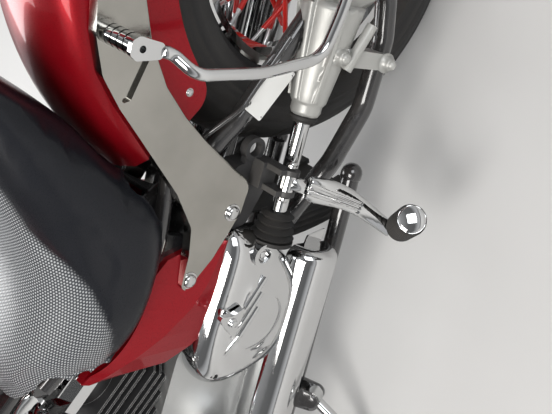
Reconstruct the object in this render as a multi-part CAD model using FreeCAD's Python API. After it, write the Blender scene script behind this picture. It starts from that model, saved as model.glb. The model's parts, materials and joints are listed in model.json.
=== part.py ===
"""Cruiser motorcycle with a shaft drive, leaning on its side stand.

The machine is drawn upright: x runs forward from the rear axle, y to the rider's left and z up
from the ground.  One lean and one shift then set every piece down as it parks.  Millimetres.
"""
import FreeCAD
import Part
import math
import os

V = FreeCAD.Vector

# Stance
WHEELBASE = 1625.0
LEAN = 10.0              # degrees towards the side stand
RAKE = 35.0              # degrees of the steering axis behind the vertical
FORK_OFFSET = 60.0       # fork tubes ahead of the steering axis
FORK_HALF = 106.0        # fork tubes either side of the middle

# Wheels: outer radius, half width of the tyre, flange radius, half width over the flanges
REAR_TYRE_R, REAR_TYRE_HALF, REAR_FLANGE_R, REAR_RIM_HALF = 322.0, 82.0, 203.0, 51.0
FRONT_TYRE_R, FRONT_TYRE_HALF, FRONT_FLANGE_R, FRONT_RIM_HALF = 318.0, 63.0, 215.0, 44.0
REAR_HUB_HALF, FRONT_HUB_HALF = 34.0, 32.0
TYRE_WALL = 9.0
FLANGE_HIGH = 12.5       # flange above the bead seat
RIM_WALL = 4.0
AXLE_R = 10.0
SPOKES = 36
SLEEVE_R = 4.0           # red sleeve over each spoke
NIPPLE_R = 3.0
NIPPLE_LONG = 22.0
RUN_GAP = 0.3            # running clearance between pieces that turn

# Frame
TUBE_R = 16.0            # cradle tubes
RAIL_Y = 106.0           # lower rails either side of the middle
RAIL_Z = 148.0
BACKBONE_R = 24.0
HEAD_R = 32.0
HEAD_LOW, HEAD_HIGH = 920.0, 1070.0   # head tube ends along the steering axis
STEM_R = 15.0
SWING_X, SWING_Z, SWING_PIVOT_R = 480.0, 318.0, 19.0
SWING_UPPER_R = 15.0
SWING_LOWER_R = 16.5
CRADLE_DROP_X, CRADLE_KNEE_X = 34.0, 76.0   # how far the down tubes run back from the head
CRADLE_END_X = 352.0
BACKBONE_BACK = 220.0    # top bend of the backbone behind the head tube's middle
BACKBONE_FOOT = (700.0, 640.0)

# Forks
SLIDER_R, TUBE_FORK_R, COVER_R = 27.0, 20.5, 30.0
CLAMP_LOW, CLAMP_HIGH, CLAMP_THICK = 880.0, 1078.0, 34.0

# Handlebar
BAR_R = 12.7
GRIP_R = 17.0
GRIP_LONG = 120.0
LEVER_GAP = 58.0         # lever ahead of the grip

# Rear fender, about the rear axle
FENDER_CROWN_R = REAR_TYRE_R + 123.0
FENDER_LIP_R = REAR_TYRE_R - 40.0
FENDER_HALF = 110.0
FENDER_WALL = 3.0
FENDER_CORNER = 34.0     # rounding of the side walls' lower corners
FENDER_FROM, FENDER_TO = 37.0, 172.0   # degrees round the wheel, 0 ahead, 90 on top

# Front fender, about the front axle
FRONT_CROWN_R = FRONT_TYRE_R + 32.0
FRONT_LIP_R = FRONT_TYRE_R - 56.0
FRONT_FENDER_HALF = 75.0
FRONT_FROM, FRONT_TO = 22.0, 196.0

# Drive
SHAFT_Y, SHAFT_Z, SHAFT_R = 129.0, REAR_TYRE_R + 11.0, 12.5

# Fender strut and luggage rail
STRUT_Y = FENDER_HALF    # inner face of the strut lies on the fender
STRUT_THICK = 14.0
RAIL_TUBE_R = 7.5
STRUT_LIP, STRUT_LIP_OUT = 3.5, 4.0    # thin flange along the strut's top edge
RAIL_OUT = 222.0         # rail's tube from the middle
RAIL_HOLE_R, RAIL_HOLE_DEEP = 4.25, 24.0   # open bolt hole in the end of each spacer stack
TAB_Y, TAB_THICK, TAB_DROP = 190.0, 7.0, 28.0   # flat tab on the end of the stack
SPACER_R, SPACER_COUNT = 13.0, 5

COVER_Y = 98.0           # inner face of the side covers from the middle

# Passenger peg
PEG_PIVOT = V(338.0, 160.0, 362.0)
PEG_PIN_R = 6.0
PEG_RUBBER_R, PEG_CORE_R = 21.5, 9.0

# Side stand
STAND_PIVOT = V(770.0, 148.0, 138.0)
STAND_PIN_R = 8.0


# Small shapes

def line(points, closed=False):
    pts = [V(*p) for p in points]
    return Part.makePolygon(pts + [pts[0]] if closed else pts)


def cyl(a, b, r):
    a, b = V(*a), V(*b)
    return Part.makeCylinder(r, (b - a).Length, a, b - a)


def ring(a, b, r_out, r_in):
    return cyl(a, b, r_out).cut(cyl(a, b, r_in))


def block(x0, x1, y0, y1, z0, z1):
    return Part.makeBox(x1 - x0, y1 - y0, z1 - z0, V(x0, y0, z0))


def mirrored(shape):
    return shape.mirror(V(0, 0, 0), V(0, 1, 0))


def joined(*shapes):
    shapes = [s for s in shapes if s is not None]
    out = shapes[0].fuse(list(shapes[1:])) if len(shapes) > 1 else shapes[0]
    out = out.removeSplitter()
    return out


def group(shapes):
    return Part.makeCompound(shapes)


def both(left):
    """A left piece and its mirror image on the right, in one node."""
    return group([left, mirrored(left)])


def bent_path(points, bends):
    """Straight runs joined by tangent arcs; bends gives the arc radius at each inner point."""
    pts = [V(*p) for p in points]
    edges, start = [], pts[0]
    for i in range(1, len(pts) - 1):
        a, b, c = pts[i - 1], pts[i], pts[i + 1]
        r = bends[i - 1] if isinstance(bends, (list, tuple)) else bends
        u, w = (a - b).normalize(), (c - b).normalize()
        half = math.acos(max(-1.0, min(1.0, u.dot(w)))) / 2.0
        reach = min(r / math.tan(half), 0.49 * min((a - b).Length, (c - b).Length))
        r = reach * math.tan(half)
        p, q = b + u * reach, b + w * reach
        mid_dir = (u + w).normalize()
        mid = b + mid_dir * (r / math.sin(half) - r)
        if (p - start).Length > 1e-4:
            edges.append(Part.LineSegment(start, p).toShape())
        edges.append(Part.Arc(p, mid, q).toShape())
        start = q
    edges.append(Part.LineSegment(start, pts[-1]).toShape())
    return Part.Wire(edges)


def tube(points, r, bends=60.0):
    """Round tube along a bent path."""
    if len(points) == 2:
        return cyl(points[0], points[1], r)
    path = bent_path(points, bends)
    first = path.Edges[0]
    start = first.valueAt(first.FirstParameter)
    along = first.tangentAt(first.FirstParameter)
    circle = Part.Wire(Part.Circle(start, along, r).toShape())
    return path.makePipeShell([circle], True, False)


def plate(points, y0, thick):
    """Flat plate in the x-z plane from its outline, standing y0 to y0 + thick from the middle."""
    face = Part.Face(line([(x, y0, z) for x, z in points], closed=True))
    return face.extrude(V(0, thick, 0))


def rounded_face(points, y0, r):
    """Flat outline across the machine with every corner rounded by the same radius."""
    pts = [V(x, y0, z) for x, z in points]
    edges, n, first, last = [], len(points), None, None
    for i in range(n):
        a, b, c = pts[i - 1], pts[i], pts[(i + 1) % n]
        u, w = (a - b).normalize(), (c - b).normalize()
        half = math.acos(max(-1.0, min(1.0, u.dot(w)))) / 2.0
        reach = min(r / math.tan(half), 0.45 * min((a - b).Length, (c - b).Length))
        rr = reach * math.tan(half)
        p, q = b + u * reach, b + w * reach
        mid = b + (u + w).normalize() * (rr / math.sin(half) - rr)
        if last is not None:
            edges.append(Part.LineSegment(last, p).toShape())
        else:
            first = p
        edges.append(Part.Arc(p, mid, q).toShape())
        last = q
    edges.append(Part.LineSegment(last, first).toShape())
    return Part.Face(Part.Wire(edges))


def rounded(points, y0, thick, r):
    """Plate with every corner of its outline rounded."""
    return rounded_face(points, y0, r).extrude(V(0, thick, 0))


def smooth_wire(points):
    """Closed smooth curve through the points."""
    curve = Part.BSplineCurve()
    curve.interpolate([V(*p) for p in points], PeriodicFlag=True)
    return Part.Wire(curve.toShape())


def tapered(path, widths, thicks, outward):
    """Smooth bar along a path; each section is an oval as wide and as thick as listed."""
    pts = [V(*p) for p in path]
    wires = []
    for i, at in enumerate(pts):
        a, b = pts[max(i - 1, 0)], pts[min(i + 1, len(pts) - 1)]
        along = (b - a).normalize()
        face = (outward - along * outward.dot(along)).normalize()
        side = along.cross(face)
        ring_pts = []
        for k in range(12):
            t = 2 * math.pi * k / 12
            c, s = math.cos(t), math.sin(t)
            c, s = (math.copysign(abs(q) ** 0.8, q) for q in (c, s))
            ring_pts.append(at + side * (c * widths[i]) + face * (s * thicks[i]))
        wires.append(smooth_wire([tuple(q) for q in ring_pts]))
    return Part.makeLoft(wires, True, False)


def turned(profile, centre, angle=360.0, start=0.0):
    """Revolve an (r, y) outline about the cross axis through centre; angles run from ahead to top."""
    pts = [V(centre.x + r, centre.y + y, centre.z) for r, y in profile]
    face = Part.Face(Part.makePolygon(pts + [pts[0]]))
    if start:
        face.rotate(centre, V(0, 1, 0), -start)
    return face.revolve(centre, V(0, -1, 0), angle)


def oval(x, y, z, half_w, half_h, low=None, power=2.4, count=16):
    """Closed smooth section across the machine; low sets a different reach below the middle."""
    low = half_h if low is None else low
    pts = []
    for i in range(count):
        t = 2 * math.pi * i / count
        c, s = math.cos(t), math.sin(t)
        yy = half_w * math.copysign(abs(c) ** (2 / power), c)
        zz = (half_h if s > 0 else low) * math.copysign(abs(s) ** (2 / power), s)
        pts.append(V(x, y + yy, z + zz))
    curve = Part.BSplineCurve()
    curve.interpolate(pts, PeriodicFlag=True)
    return Part.Wire(curve.toShape())


def swept(sections):
    return Part.makeLoft(sections, True, False)


# The steering's own lines

def steer_line(s, e, y):
    """Point s up the steering axis from the ground, e ahead of it and y to the left."""
    k = math.radians(RAKE)
    return V(GROUND_X - s * math.sin(k) + e * math.cos(k), y, s * math.cos(k) + e * math.sin(k))


STEER_AXIS = V(-math.sin(math.radians(RAKE)), 0, math.cos(math.radians(RAKE)))
TRAIL = (FRONT_TYRE_R * math.sin(math.radians(RAKE)) - FORK_OFFSET) / math.cos(math.radians(RAKE))
GROUND_X = WHEELBASE + TRAIL
REAR_AXLE = V(0, 0, REAR_TYRE_R)
FRONT_AXLE = V(WHEELBASE, 0, FRONT_TYRE_R)
AXLE_S = (GROUND_X - WHEELBASE) * math.sin(math.radians(RAKE)) \
    + FRONT_TYRE_R * math.cos(math.radians(RAKE))


def sl(s, e, y):
    p = steer_line(s, e, y)
    return (p.x, p.y, p.z)


# Wheels

def tyre(centre, outer, half, flange_r, rim_half):
    """Tyre shell: round crown, side walls and beads that sit in the rim."""
    crown = half
    mid = outer - crown
    seat = flange_r - FLANGE_HIGH
    inner_half = rim_half - 6.5
    wall = TYRE_WALL

    def side(sign, radius, inset):
        rows = []
        for deg in (0, 12, 24, 36, 48, 60, 75, 90, 105):
            t = math.radians(deg)
            rows.append((mid + radius * math.cos(t), sign * radius * math.sin(t)))
        rows.append((flange_r + 4, sign * (inner_half + 4 - inset)))
        rows.append((flange_r + 1, sign * (inner_half - inset)))
        rows.append((seat, sign * (inner_half - inset)))
        return rows

    out_l, out_r = side(1, crown, 0), side(-1, crown, 0)
    in_l, in_r = side(1, crown - wall, wall), side(-1, crown - wall, wall)
    profile = out_l + in_l[::-1] + in_r[1:] + out_r[::-1][:-1]
    return turned(profile, centre)


def rim(centre, flange_r, rim_half):
    """Drop centre rim with curled flanges."""
    seat = flange_r - FLANGE_HIGH
    inner_half = rim_half - 6.5
    well = seat - 14
    top = [(flange_r - 1, rim_half - 1), (flange_r, inner_half + 3), (flange_r - 3, inner_half),
           (seat, inner_half), (seat, inner_half * 0.55), (well, inner_half * 0.3)]
    low = [(well - RIM_WALL, inner_half * 0.3 + 1), (seat - RIM_WALL, inner_half * 0.55 + 3),
           (seat - RIM_WALL, inner_half + 4), (flange_r - 5, rim_half)]
    left = top + low
    right = [(r, -y) for r, y in left]
    profile = [right[9], right[0], right[1], right[2], right[3], right[4], right[5],
               left[5], left[4], left[3], left[2], left[1], left[0], left[9], left[8], left[7],
               left[6], right[6], right[7], right[8]]
    return turned(profile, centre), well - RIM_WALL


def spoke_ends(centre, hub_r, hub_half, rim_r, number):
    """Both ends of one spoke of the crossed pattern."""
    side = 1 if number % 2 else -1
    outer = (number // 2) % 2
    rim_angle = 2 * math.pi * number / SPOKES
    hub_angle = rim_angle + math.radians(46.0) * (1 if outer else -1)
    y_hub = side * (hub_half + (4.5 if outer else -5.5))
    y_rim = side * (13.0 if outer else 2.5)
    a = V(centre.x + hub_r * math.cos(hub_angle), y_hub, centre.z + hub_r * math.sin(hub_angle))
    b = V(centre.x + rim_r * math.cos(rim_angle), y_rim, centre.z + rim_r * math.sin(rim_angle))
    return a, b


def spokes(centre, hub_r, hub_half, rim_r):
    """Sleeved spokes with bare nipples; the crossed sets pass each other without touching."""
    out = []
    for number in range(SPOKES):
        a, b = spoke_ends(centre, hub_r, hub_half, rim_r, number)
        d = (b - a).normalize()
        mid = b - d * NIPPLE_LONG
        out.append(joined(cyl(a, mid, SLEEVE_R), cyl(mid, b, NIPPLE_R)))
    return out


def hub(centre, half, flange_r, body_r, bore):
    """Hub barrel between two flanges with the bearing bore through it."""
    y = half + 9
    profile = [(bore, -y - 4), (body_r * 0.8, -y - 4), (flange_r - 14, -y), (flange_r, -y),
               (flange_r, -half + 9), (body_r, -half + 16), (body_r, half - 16),
               (flange_r, half - 9), (flange_r, y), (flange_r - 14, y), (body_r * 0.8, y + 4),
               (bore, y + 4)]
    return turned(profile, centre)


def wheel(tag, centre, tyre_r, tyre_half, flange_r, rim_half, hub_half, hub_r):
    rim_shape, rim_in = rim(centre, flange_r, rim_half)
    hub_shape = hub(centre, hub_half, hub_r + 6, hub_r - 22, AXLE_R + RUN_GAP)
    laced = spokes(centre, hub_r - 2, hub_half, rim_in + 1.0)
    return {
        tag + "_tyre": tyre(centre, tyre_r, tyre_half, flange_r, rim_half),
        tag + "_rim": rim_shape,
        tag + "_spokes": hub_shape.fuse(laced).cut(rim_shape),
    }


def disc(centre, y, outer, inner, thick=5.0):
    """Brake disc with a ring of drilled holes on its carrier."""
    d = ring((centre.x, y - thick / 2, centre.z), (centre.x, y + thick / 2, centre.z), outer, inner)
    holes = []
    for i in range(12):
        t = 2 * math.pi * i / 12
        r = (outer + inner) / 2 + 12
        c = (centre.x + r * math.cos(t), centre.z + r * math.sin(t))
        holes.append(cyl((c[0], y - thick, c[1]), (c[0], y + thick, c[1]), 6.0))
    return d.cut(holes)


# Fork group

def fork_legs():
    legs = []
    for side in (1, -1):
        y = side * FORK_HALF
        slider = cyl(sl(AXLE_S - 34, FORK_OFFSET, y), sl(AXLE_S + 268, FORK_OFFSET, y), SLIDER_R)
        lug = cyl((FRONT_AXLE.x, y - side * SLIDER_R, FRONT_AXLE.z),
                  (FRONT_AXLE.x, y + side * SLIDER_R, FRONT_AXLE.z), 24.0)
        collar = cyl(sl(AXLE_S + 240, FORK_OFFSET, y), sl(AXLE_S + 272, FORK_OFFSET, y),
                     SLIDER_R + 3)
        inner = cyl(sl(AXLE_S + 266, FORK_OFFSET, y), sl(CLAMP_LOW, FORK_OFFSET, y), TUBE_FORK_R)
        mount = sl(AXLE_S + 282, FORK_OFFSET, side * FRONT_FENDER_HALF)
        pad = cyl(mount, (mount[0], y, mount[2]), 13.0)
        leg = joined(slider, lug, collar, inner, pad)
        leg = leg.cut(cyl((FRONT_AXLE.x, y - side * 60, FRONT_AXLE.z),
                          (FRONT_AXLE.x, y + side * 60, FRONT_AXLE.z), AXLE_R))
        legs.append(leg)
    return group(legs)


def triple_clamp(s, grip_r):
    """One yoke: a shaped plate with a ring at each tube and one at the stem."""
    pieces = [cyl(sl(s, 0, 0), sl(s + CLAMP_THICK, 0, 0), 34.0)]
    for side in (1, -1):
        y = side * FORK_HALF
        pieces.append(cyl(sl(s, FORK_OFFSET, y), sl(s + CLAMP_THICK, FORK_OFFSET, y), grip_r))
        web = Part.Face(line([sl(s, 30, side * 0.0), sl(s, -26, side * 4), sl(s, -10, side * 70),
                              sl(s, FORK_OFFSET - 18, y + side * 24), sl(s, FORK_OFFSET + 20, y)],
                             closed=True))
        pieces.append(web.extrude(STEER_AXIS * CLAMP_THICK))
    return joined(*pieces)


def triple_clamps():
    low = triple_clamp(CLAMP_LOW, COVER_R + 3)
    high = triple_clamp(CLAMP_HIGH, COVER_R + 3)
    stem = cyl(sl(CLAMP_LOW, 0, 0), sl(CLAMP_HIGH + CLAMP_THICK, 0, 0), STEM_R)
    nut = cyl(sl(CLAMP_HIGH + CLAMP_THICK, 0, 0), sl(CLAMP_HIGH + CLAMP_THICK + 12, 0, 0), 16.0)
    risers = []
    for side in (1, -1):
        risers.append(cyl(sl(CLAMP_HIGH + CLAMP_THICK - 1, 4, side * 48),
                          sl(BAR_S - 4, 4, side * 48), 16.0))
    body = joined(low, high, stem, nut, *risers)
    for side in (1, -1):
        body = body.cut(cyl(sl(BAR_S, 4, side * 20), sl(BAR_S, 4, side * 76), BAR_R))
    return body


BAR_S = CLAMP_HIGH + CLAMP_THICK + 62


def fork_covers():
    """Plated sleeves between the yokes."""
    out = []
    for side in (1, -1):
        y = side * FORK_HALF
        out.append(cyl(sl(CLAMP_LOW + CLAMP_THICK, FORK_OFFSET, y), sl(CLAMP_HIGH, FORK_OFFSET, y),
                       COVER_R))
    return group(out)


def bar_points(side):
    p = BAR_AT
    return [(p.x, side * 92, p.z), (p.x - 14, side * 190, p.z + 88),
            (p.x - 66, side * 290, p.z + 116), GRIP_END[side]]


BAR_AT = steer_line(BAR_S, 4, 0)
GRIP_END = {s: (BAR_AT.x - 226, s * 430, BAR_AT.z + 78) for s in (1, -1)}


def handlebar():
    return tube(bar_points(-1)[::-1] + bar_points(1), BAR_R, 55.0)


def grip_dir(side):
    return (V(*GRIP_END[side]) - V(*bar_points(side)[2])).normalize()


def grips():
    out = []
    for side in (1, -1):
        d = grip_dir(side)
        b = V(*GRIP_END[side]) + d * 6
        a = V(*GRIP_END[side]) - d * (GRIP_LONG - 6)
        body = Part.makeCylinder(GRIP_R, (b - a).Length, a, d)
        core = Part.makeCylinder(BAR_R, (b - a).Length - 6, a, d)
        out.append(body.cut(core))
    return group(out)


def hand_controls(side):
    """Switch housing round the bar, lever perch and the lever ahead of the grip."""
    d = grip_dir(side)
    ahead = V(d.y * side, -d.x * side, 0).normalize()
    start = V(*GRIP_END[side]) - d * (GRIP_LONG - 6) - d * 34
    house = Part.makeCylinder(21.0, 33.0, start, d)
    perch_at = start - d * 24
    perch = Part.makeCylinder(19.0, 23.0, perch_at, d)
    arm = cyl(tuple(perch_at + d * 12), tuple(perch_at + d * 12 + ahead * 40), 9.0)
    pivot = perch_at + d * 12 + ahead * 40
    tip = pivot + d * 158 + ahead * (LEVER_GAP - 44)
    mid = pivot + d * 60 + ahead * (LEVER_GAP - 32)
    lever = tube([tuple(pivot), tuple(mid), tuple(tip)], 6.5, 60.0)
    ball = Part.makeSphere(9.0, tip)
    tank = Part.makeCylinder(15.0, 46.0, pivot - d * 16 + V(0, 0, 4), d)
    stem_foot = perch_at + d * 10 + V(0, 0, 26)
    boss = cyl(tuple(stem_foot - V(0, 0, 18)), tuple(stem_foot), 8.0)
    body = joined(house, perch, arm, lever, ball, tank, boss)
    bar_core = Part.makeCylinder(BAR_R, 90.0, start - d * 40, d)
    return body.cut(bar_core), mirror(side, stem_foot)


# Mirror head from its flat face forward: (x ahead of the face, half width, half height)
MIRROR_ROWS = ((0, 62, 40), (10, 61, 39), (19, 50, 31), (25, 28, 17))


def mirror(side, foot):
    """Domed head with a flat face to the rear on a bent stem."""
    at = V(foot.x + 16, foot.y + side * 75, foot.z + 134)
    head = swept([oval(at.x + dx, at.y, at.z, w, h, power=2.0) for dx, w, h in MIRROR_ROWS])
    end = at + V(12, 0, 0)
    stem = tube([tuple(foot), tuple(foot + V(0, 0, 52)), tuple(end)], 4.5, 60.0)
    return joined(head, stem)


LAMP_AT = steer_line(950.0, 178.0, 0)
LAMP_R = 92.0


def headlight():
    """Deep round bucket with its rim, hollow ahead for the lens."""
    x, z = LAMP_AT.x, LAMP_AT.z
    rows = [(0, -96), (34, -92), (62, -74), (80, -46), (88, -10), (90, 26), (LAMP_R + 4, 30),
            (LAMP_R + 4, 50), (LAMP_R - 3, 52), (LAMP_R - 8, 36), (0, 36)]
    face = Part.Face(line([(x + dx, r, z) for r, dx in rows], closed=True))
    bucket = face.revolve(V(x, 0, z), V(1, 0, 0), 360)
    arms = []
    for side in (1, -1):
        ear = cyl((x + 4, side * 84, z), (x + 4, side * 100, z), 10.0)
        back = sl(1000.0, FORK_OFFSET + COVER_R - 2, side * (FORK_HALF - 8))
        arms.append(joined(ear, tube([(x + 4, side * 95, z), back], 7.0)))
    return joined(bucket, *arms)


def headlight_lens():
    x, z = LAMP_AT.x, LAMP_AT.z
    rows = [(0, 36), (LAMP_R - 8, 36), (LAMP_R - 5, 48), (60, 58), (30, 63), (0, 64)]
    face = Part.Face(line([(x + dx, r, z) for r, dx in rows], closed=True))
    return face.revolve(V(x, 0, z), V(1, 0, 0), 360)


def u_profile(crown, lip, half, wall):
    """Fender section: arched crown that turns down into deep sides."""
    def edge(off):
        c, h = crown - off, half - off
        return [(lip, h), (lip + (c - lip) * 0.45, h), (lip + (c - lip) * 0.72, h * 0.955),
                (lip + (c - lip) * 0.88, h * 0.80), (lip + (c - lip) * 0.965, h * 0.50),
                (c, h * 0.16)]
    out, inn = edge(0), edge(wall)
    left = out + [(r, -y) for r, y in out[::-1]]
    back = inn + [(r, -y) for r, y in inn[::-1]]
    return left + back[::-1]


def front_fender():
    profile = u_profile(FRONT_CROWN_R, FRONT_LIP_R, FRONT_FENDER_HALF, FENDER_WALL)
    return turned(profile, FRONT_AXLE, FRONT_TO - FRONT_FROM, FRONT_FROM)


def front_axle():
    y = FORK_HALF + SLIDER_R
    bar = cyl((FRONT_AXLE.x, -y, FRONT_AXLE.z), (FRONT_AXLE.x, y, FRONT_AXLE.z), AXLE_R)
    cap = cyl((FRONT_AXLE.x, y, FRONT_AXLE.z), (FRONT_AXLE.x, y + 10, FRONT_AXLE.z), 16.0)
    return joined(bar, cap, mirrored(cap))


FRONT_DISC_Y, DISC_R = 66.0, 149.0
CALIPER_AT = 152.0        # degrees round the wheel


def front_caliper():
    """Sliding caliper behind the left leg, straddling the disc."""
    x, z = FRONT_AXLE.x, FRONT_AXLE.z
    body = block(x + 96, x + DISC_R + 20, FRONT_DISC_Y - 22, FRONT_DISC_Y + 26, z - 38, z + 38)
    slot = cyl((x, FRONT_DISC_Y - 4.5, z), (x, FRONT_DISC_Y + 4.5, z), DISC_R + 3)
    body = body.cut(slot)
    body.rotate(FRONT_AXLE, V(0, 1, 0), -CALIPER_AT)
    return body


def front_signals():
    out = []
    for side in (1, -1):
        foot = V(*sl(1000.0, FORK_OFFSET, side * FORK_HALF))
        a = (foot.x, side * (FORK_HALF + COVER_R - 3), foot.z)
        b = (foot.x + 6, side * 190, foot.z)
        out.append(joined(cyl(a, b, 7.0), lamp_bullet(V(foot.x + 6, side * 205, foot.z), 1)))
    return group(out)


def lamp_bullet(at, way):
    """Round indicator: flat face one way, rounded back."""
    rows = [(0, 28), (30, 28), (33, 22), (33, -6), (26, -24), (12, -33), (0, -35)]
    face = Part.Face(line([(at.x + way * dx, at.y + r, at.z) for r, dx in rows], closed=True))
    return face.revolve(at, V(1, 0, 0), 360)


# Frame

def stem_bore():
    """Clear space that the steering stem turns in."""
    return cyl(sl(HEAD_LOW - 5, 0, 0), sl(HEAD_HIGH + 5, 0, 0), STEM_R + RUN_GAP)


def frame_backbone():
    head = cyl(sl(HEAD_LOW, 0, 0), sl(HEAD_HIGH, 0, 0), HEAD_R)
    (x, z), (foot_x, foot_z) = BACKBONE_TOP, BACKBONE_FOOT
    spine = tube([sl(HEAD_HIGH - 60, 0, 0), (x, 0, z), (foot_x, 0, foot_z)], BACKBONE_R, 200.0)
    under = tube([sl(HEAD_LOW + 30, 0, 0), (x + 80, 0, z - 112), (x - 80, 0, z - 62)], 17.0, 60.0)
    cross = cyl((foot_x - 10, -62, foot_z), (foot_x - 10, 62, foot_z), TUBE_R)
    mounts = [cyl((mx, -TUNNEL_HALF, mz), (mx, TUNNEL_HALF, mz), 9.0) for mx, mz in TANK_MOUNTS]
    return joined(head, spine, under, cross, *mounts).cut(stem_bore())


HEAD_X = steer_line((HEAD_LOW + HEAD_HIGH) / 2 - 45, 0, 0).x
BACKBONE_TOP = (HEAD_X - BACKBONE_BACK, 812.0)
TUNNEL_HALF = 32.0       # half width of the tunnel under the tank
MOUNT_UP = 16.0          # tank's cross bars above the backbone's own line
TANK_MOUNTS = [(BACKBONE_TOP[0] + share * (BACKBONE_FOOT[0] - BACKBONE_TOP[0]),
                BACKBONE_TOP[1] + share * (BACKBONE_FOOT[1] - BACKBONE_TOP[1]) + MOUNT_UP)
               for share in (0.08, 0.68)]
CRADLE_TOP = steer_line(HEAD_LOW + 45, -18, 0)
KNEE_X = CRADLE_TOP.x - CRADLE_KNEE_X


def cradle_points(side):
    top = CRADLE_TOP
    return [(top.x, side * 22, top.z), (top.x - CRADLE_DROP_X, side * 62, 420),
            (KNEE_X, side * RAIL_Y, RAIL_Z), ((KNEE_X + CRADLE_END_X) / 2, side * RAIL_Y, RAIL_Z),
            (CRADLE_END_X, side * (RAIL_Y - 10), RAIL_Z)]


def cradle(side):
    rail = tube(cradle_points(side), TUBE_R, [260.0, 130.0, 300.0])
    post = tube([(560, side * 88, RAIL_Z), (545, side * 60, 330), (560, side * 60, 540),
                 (BACKBONE_FOOT[0] - 10, side * 60, BACKBONE_FOOT[1])], TUBE_R, [160.0, 120.0])
    inner = 50 if side > 0 else -74
    pivot_plate = rounded([(455, 262), (552, 262), (552, 440), (400, 440), (385, 385), (455, 372)],
                          inner, 24, 18)
    pivot_plate = pivot_plate.cut(cyl((SWING_X, -200, SWING_Z), (SWING_X, 200, SWING_Z),
                                      SWING_PIVOT_R))
    return joined(rail, post, pivot_plate).cut(stem_bore())


def seat_rails():
    out = []
    for side in (1, -1):
        out.append(tube([(600, side * 78, 580), (560, side * 80, 560), (470, side * 92, 515),
                         (340, side * 98, 530)], 12.0, 90.0))
        out.append(rounded([(452, 440), (540, 440), (560, 548), (440, 512)],
                           84 if side > 0 else -COVER_Y, COVER_Y - 84, 12))
    bar = cyl((500, -90, 528), (500, 90, 528), 10.0)
    return joined(*out, bar)


def swing_line(t, up):
    """Point of the upper tube's long run, t from its front to the axle, up above its middle."""
    a, b = V(262, 108, 437), V(60, 110, REAR_AXLE.z + 10)
    at = a + (b - a) * t
    return (at.x, at.y + (20 if up else 0), at.z + up)


def swingarm():
    """Two tubes a side, axle lugs, pivot tube and the thin pipe clipped along the left."""
    axle = REAR_AXLE.z
    sides = []
    for s in (1, -1):
        upper = tube([(436, s * 52, 532), (396, s * 58, 510), (318, s * 92, 466),
                      (262, s * 108, 437), (60, s * 110, axle + 10)], SWING_UPPER_R, 60.0)
        lower = tube([(SWING_X, s * 92, SWING_Z - 12), (410, s * 98, 266), (320, s * 124, axle - 82),
                      (230, s * 128, axle - 114), (120, s * 128, axle - 116),
                      (36, s * 122, axle - 96), (6, s * 112, axle - 22)], SWING_LOWER_R, 70.0)
        lug = rounded([(-34, axle - 34), (60, axle - 34), (84, axle - 4), (60, axle + 34),
                       (-34, axle + 34)], s * 110 - 8, 16, 16)
        sides.append(joined(upper, lower, lug))
    pivot = cyl((SWING_X, -108, SWING_Z), (SWING_X, 108, SWING_Z), SWING_PIVOT_R)
    cross = cyl((432, -60, 530), (432, 60, 530), 13.0)
    pipe = tube([(300, 98, 492), swing_line(0.1, PIPE_UP), swing_line(0.62, PIPE_UP)], PIPE_R, 40.0)
    clips = [cyl(swing_line(t, 0), swing_line(t, PIPE_UP), PIPE_R + 1.5) for t in (0.14, 0.5)]
    body = joined(sides[0], sides[1], pivot, cross, pipe, *clips)
    return body.cut(cyl((0, -160, axle), (0, 160, axle), AXLE_R))


PIPE_R, PIPE_UP = 4.0, 28.0    # thin pipe along the left arm


# Wheels' fixed parts

def rear_axle():
    y = SHAFT_Y + 34
    bar = cyl((0, -y, REAR_AXLE.z), (0, y, REAR_AXLE.z), AXLE_R)
    caps = [cyl((0, s * y, REAR_AXLE.z), (0, s * (y + 12), REAR_AXLE.z), 17.0) for s in (1, -1)]
    return joined(bar, *caps)


def rear_brake():
    """Fixed drum plate on the right with its torque arm to the swingarm."""
    axle = REAR_AXLE.z
    drum_y = -(REAR_HUB_HALF + 14.0)
    end_y = -102.0
    drum = cyl((0, drum_y, axle), (0, drum_y - 20, axle), 88.0)
    boss = cyl((0, drum_y - 20, axle), (0, end_y, axle), 26.0)
    arm = tube([(58, drum_y - 14, axle - 54), (150, -86, axle - 90), (214, -104, axle - 100)], 7.0)
    return joined(drum, boss, arm).cut(cyl((0, -200, axle), (0, 0, axle), AXLE_R))


def front_disc():
    hub_end = FRONT_HUB_HALF + 9
    y = FRONT_DISC_Y
    plate_d = disc(FRONT_AXLE, y, DISC_R, 41.0)
    carrier = ring((FRONT_AXLE.x, hub_end, FRONT_AXLE.z), (FRONT_AXLE.x, y, FRONT_AXLE.z), 52.0, 41.0)
    return joined(plate_d, carrier)


# Final drive

def driveshaft():
    """Plated shaft between the rubber boot and the lip of the bevel housing."""
    return cyl((BOOT_X + 6, SHAFT_Y, SHAFT_Z), (NECK_X, SHAFT_Y, SHAFT_Z), SHAFT_R)


BOOT_X, BOOT_R, BOOT_FOLDS, BOOT_PITCH = 398.0, 34.0, 4, 11.0


def shaft_boot():
    """Rubber bellows over the joint at the engine's end of the shaft."""
    rows = [(SHAFT_R, 0), (SHAFT_R + 6, 0)]
    for k in range(BOOT_FOLDS):
        r = BOOT_R * (0.72 + 0.28 * (k + 1) / BOOT_FOLDS)
        rows += [(r, (k + 0.5) * BOOT_PITCH), (r - 6, (k + 1) * BOOT_PITCH)]
    end = BOOT_FOLDS * BOOT_PITCH
    rows += [(BOOT_R, end), (BOOT_R, end + 6), (SHAFT_R, end + 6)]
    face = Part.Face(line([(BOOT_X + dx, SHAFT_Y + r, SHAFT_Z) for r, dx in rows], closed=True))
    return face.revolve(V(0, SHAFT_Y, SHAFT_Z), V(1, 0, 0), 360)


NECK_X = 244.0


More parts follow.
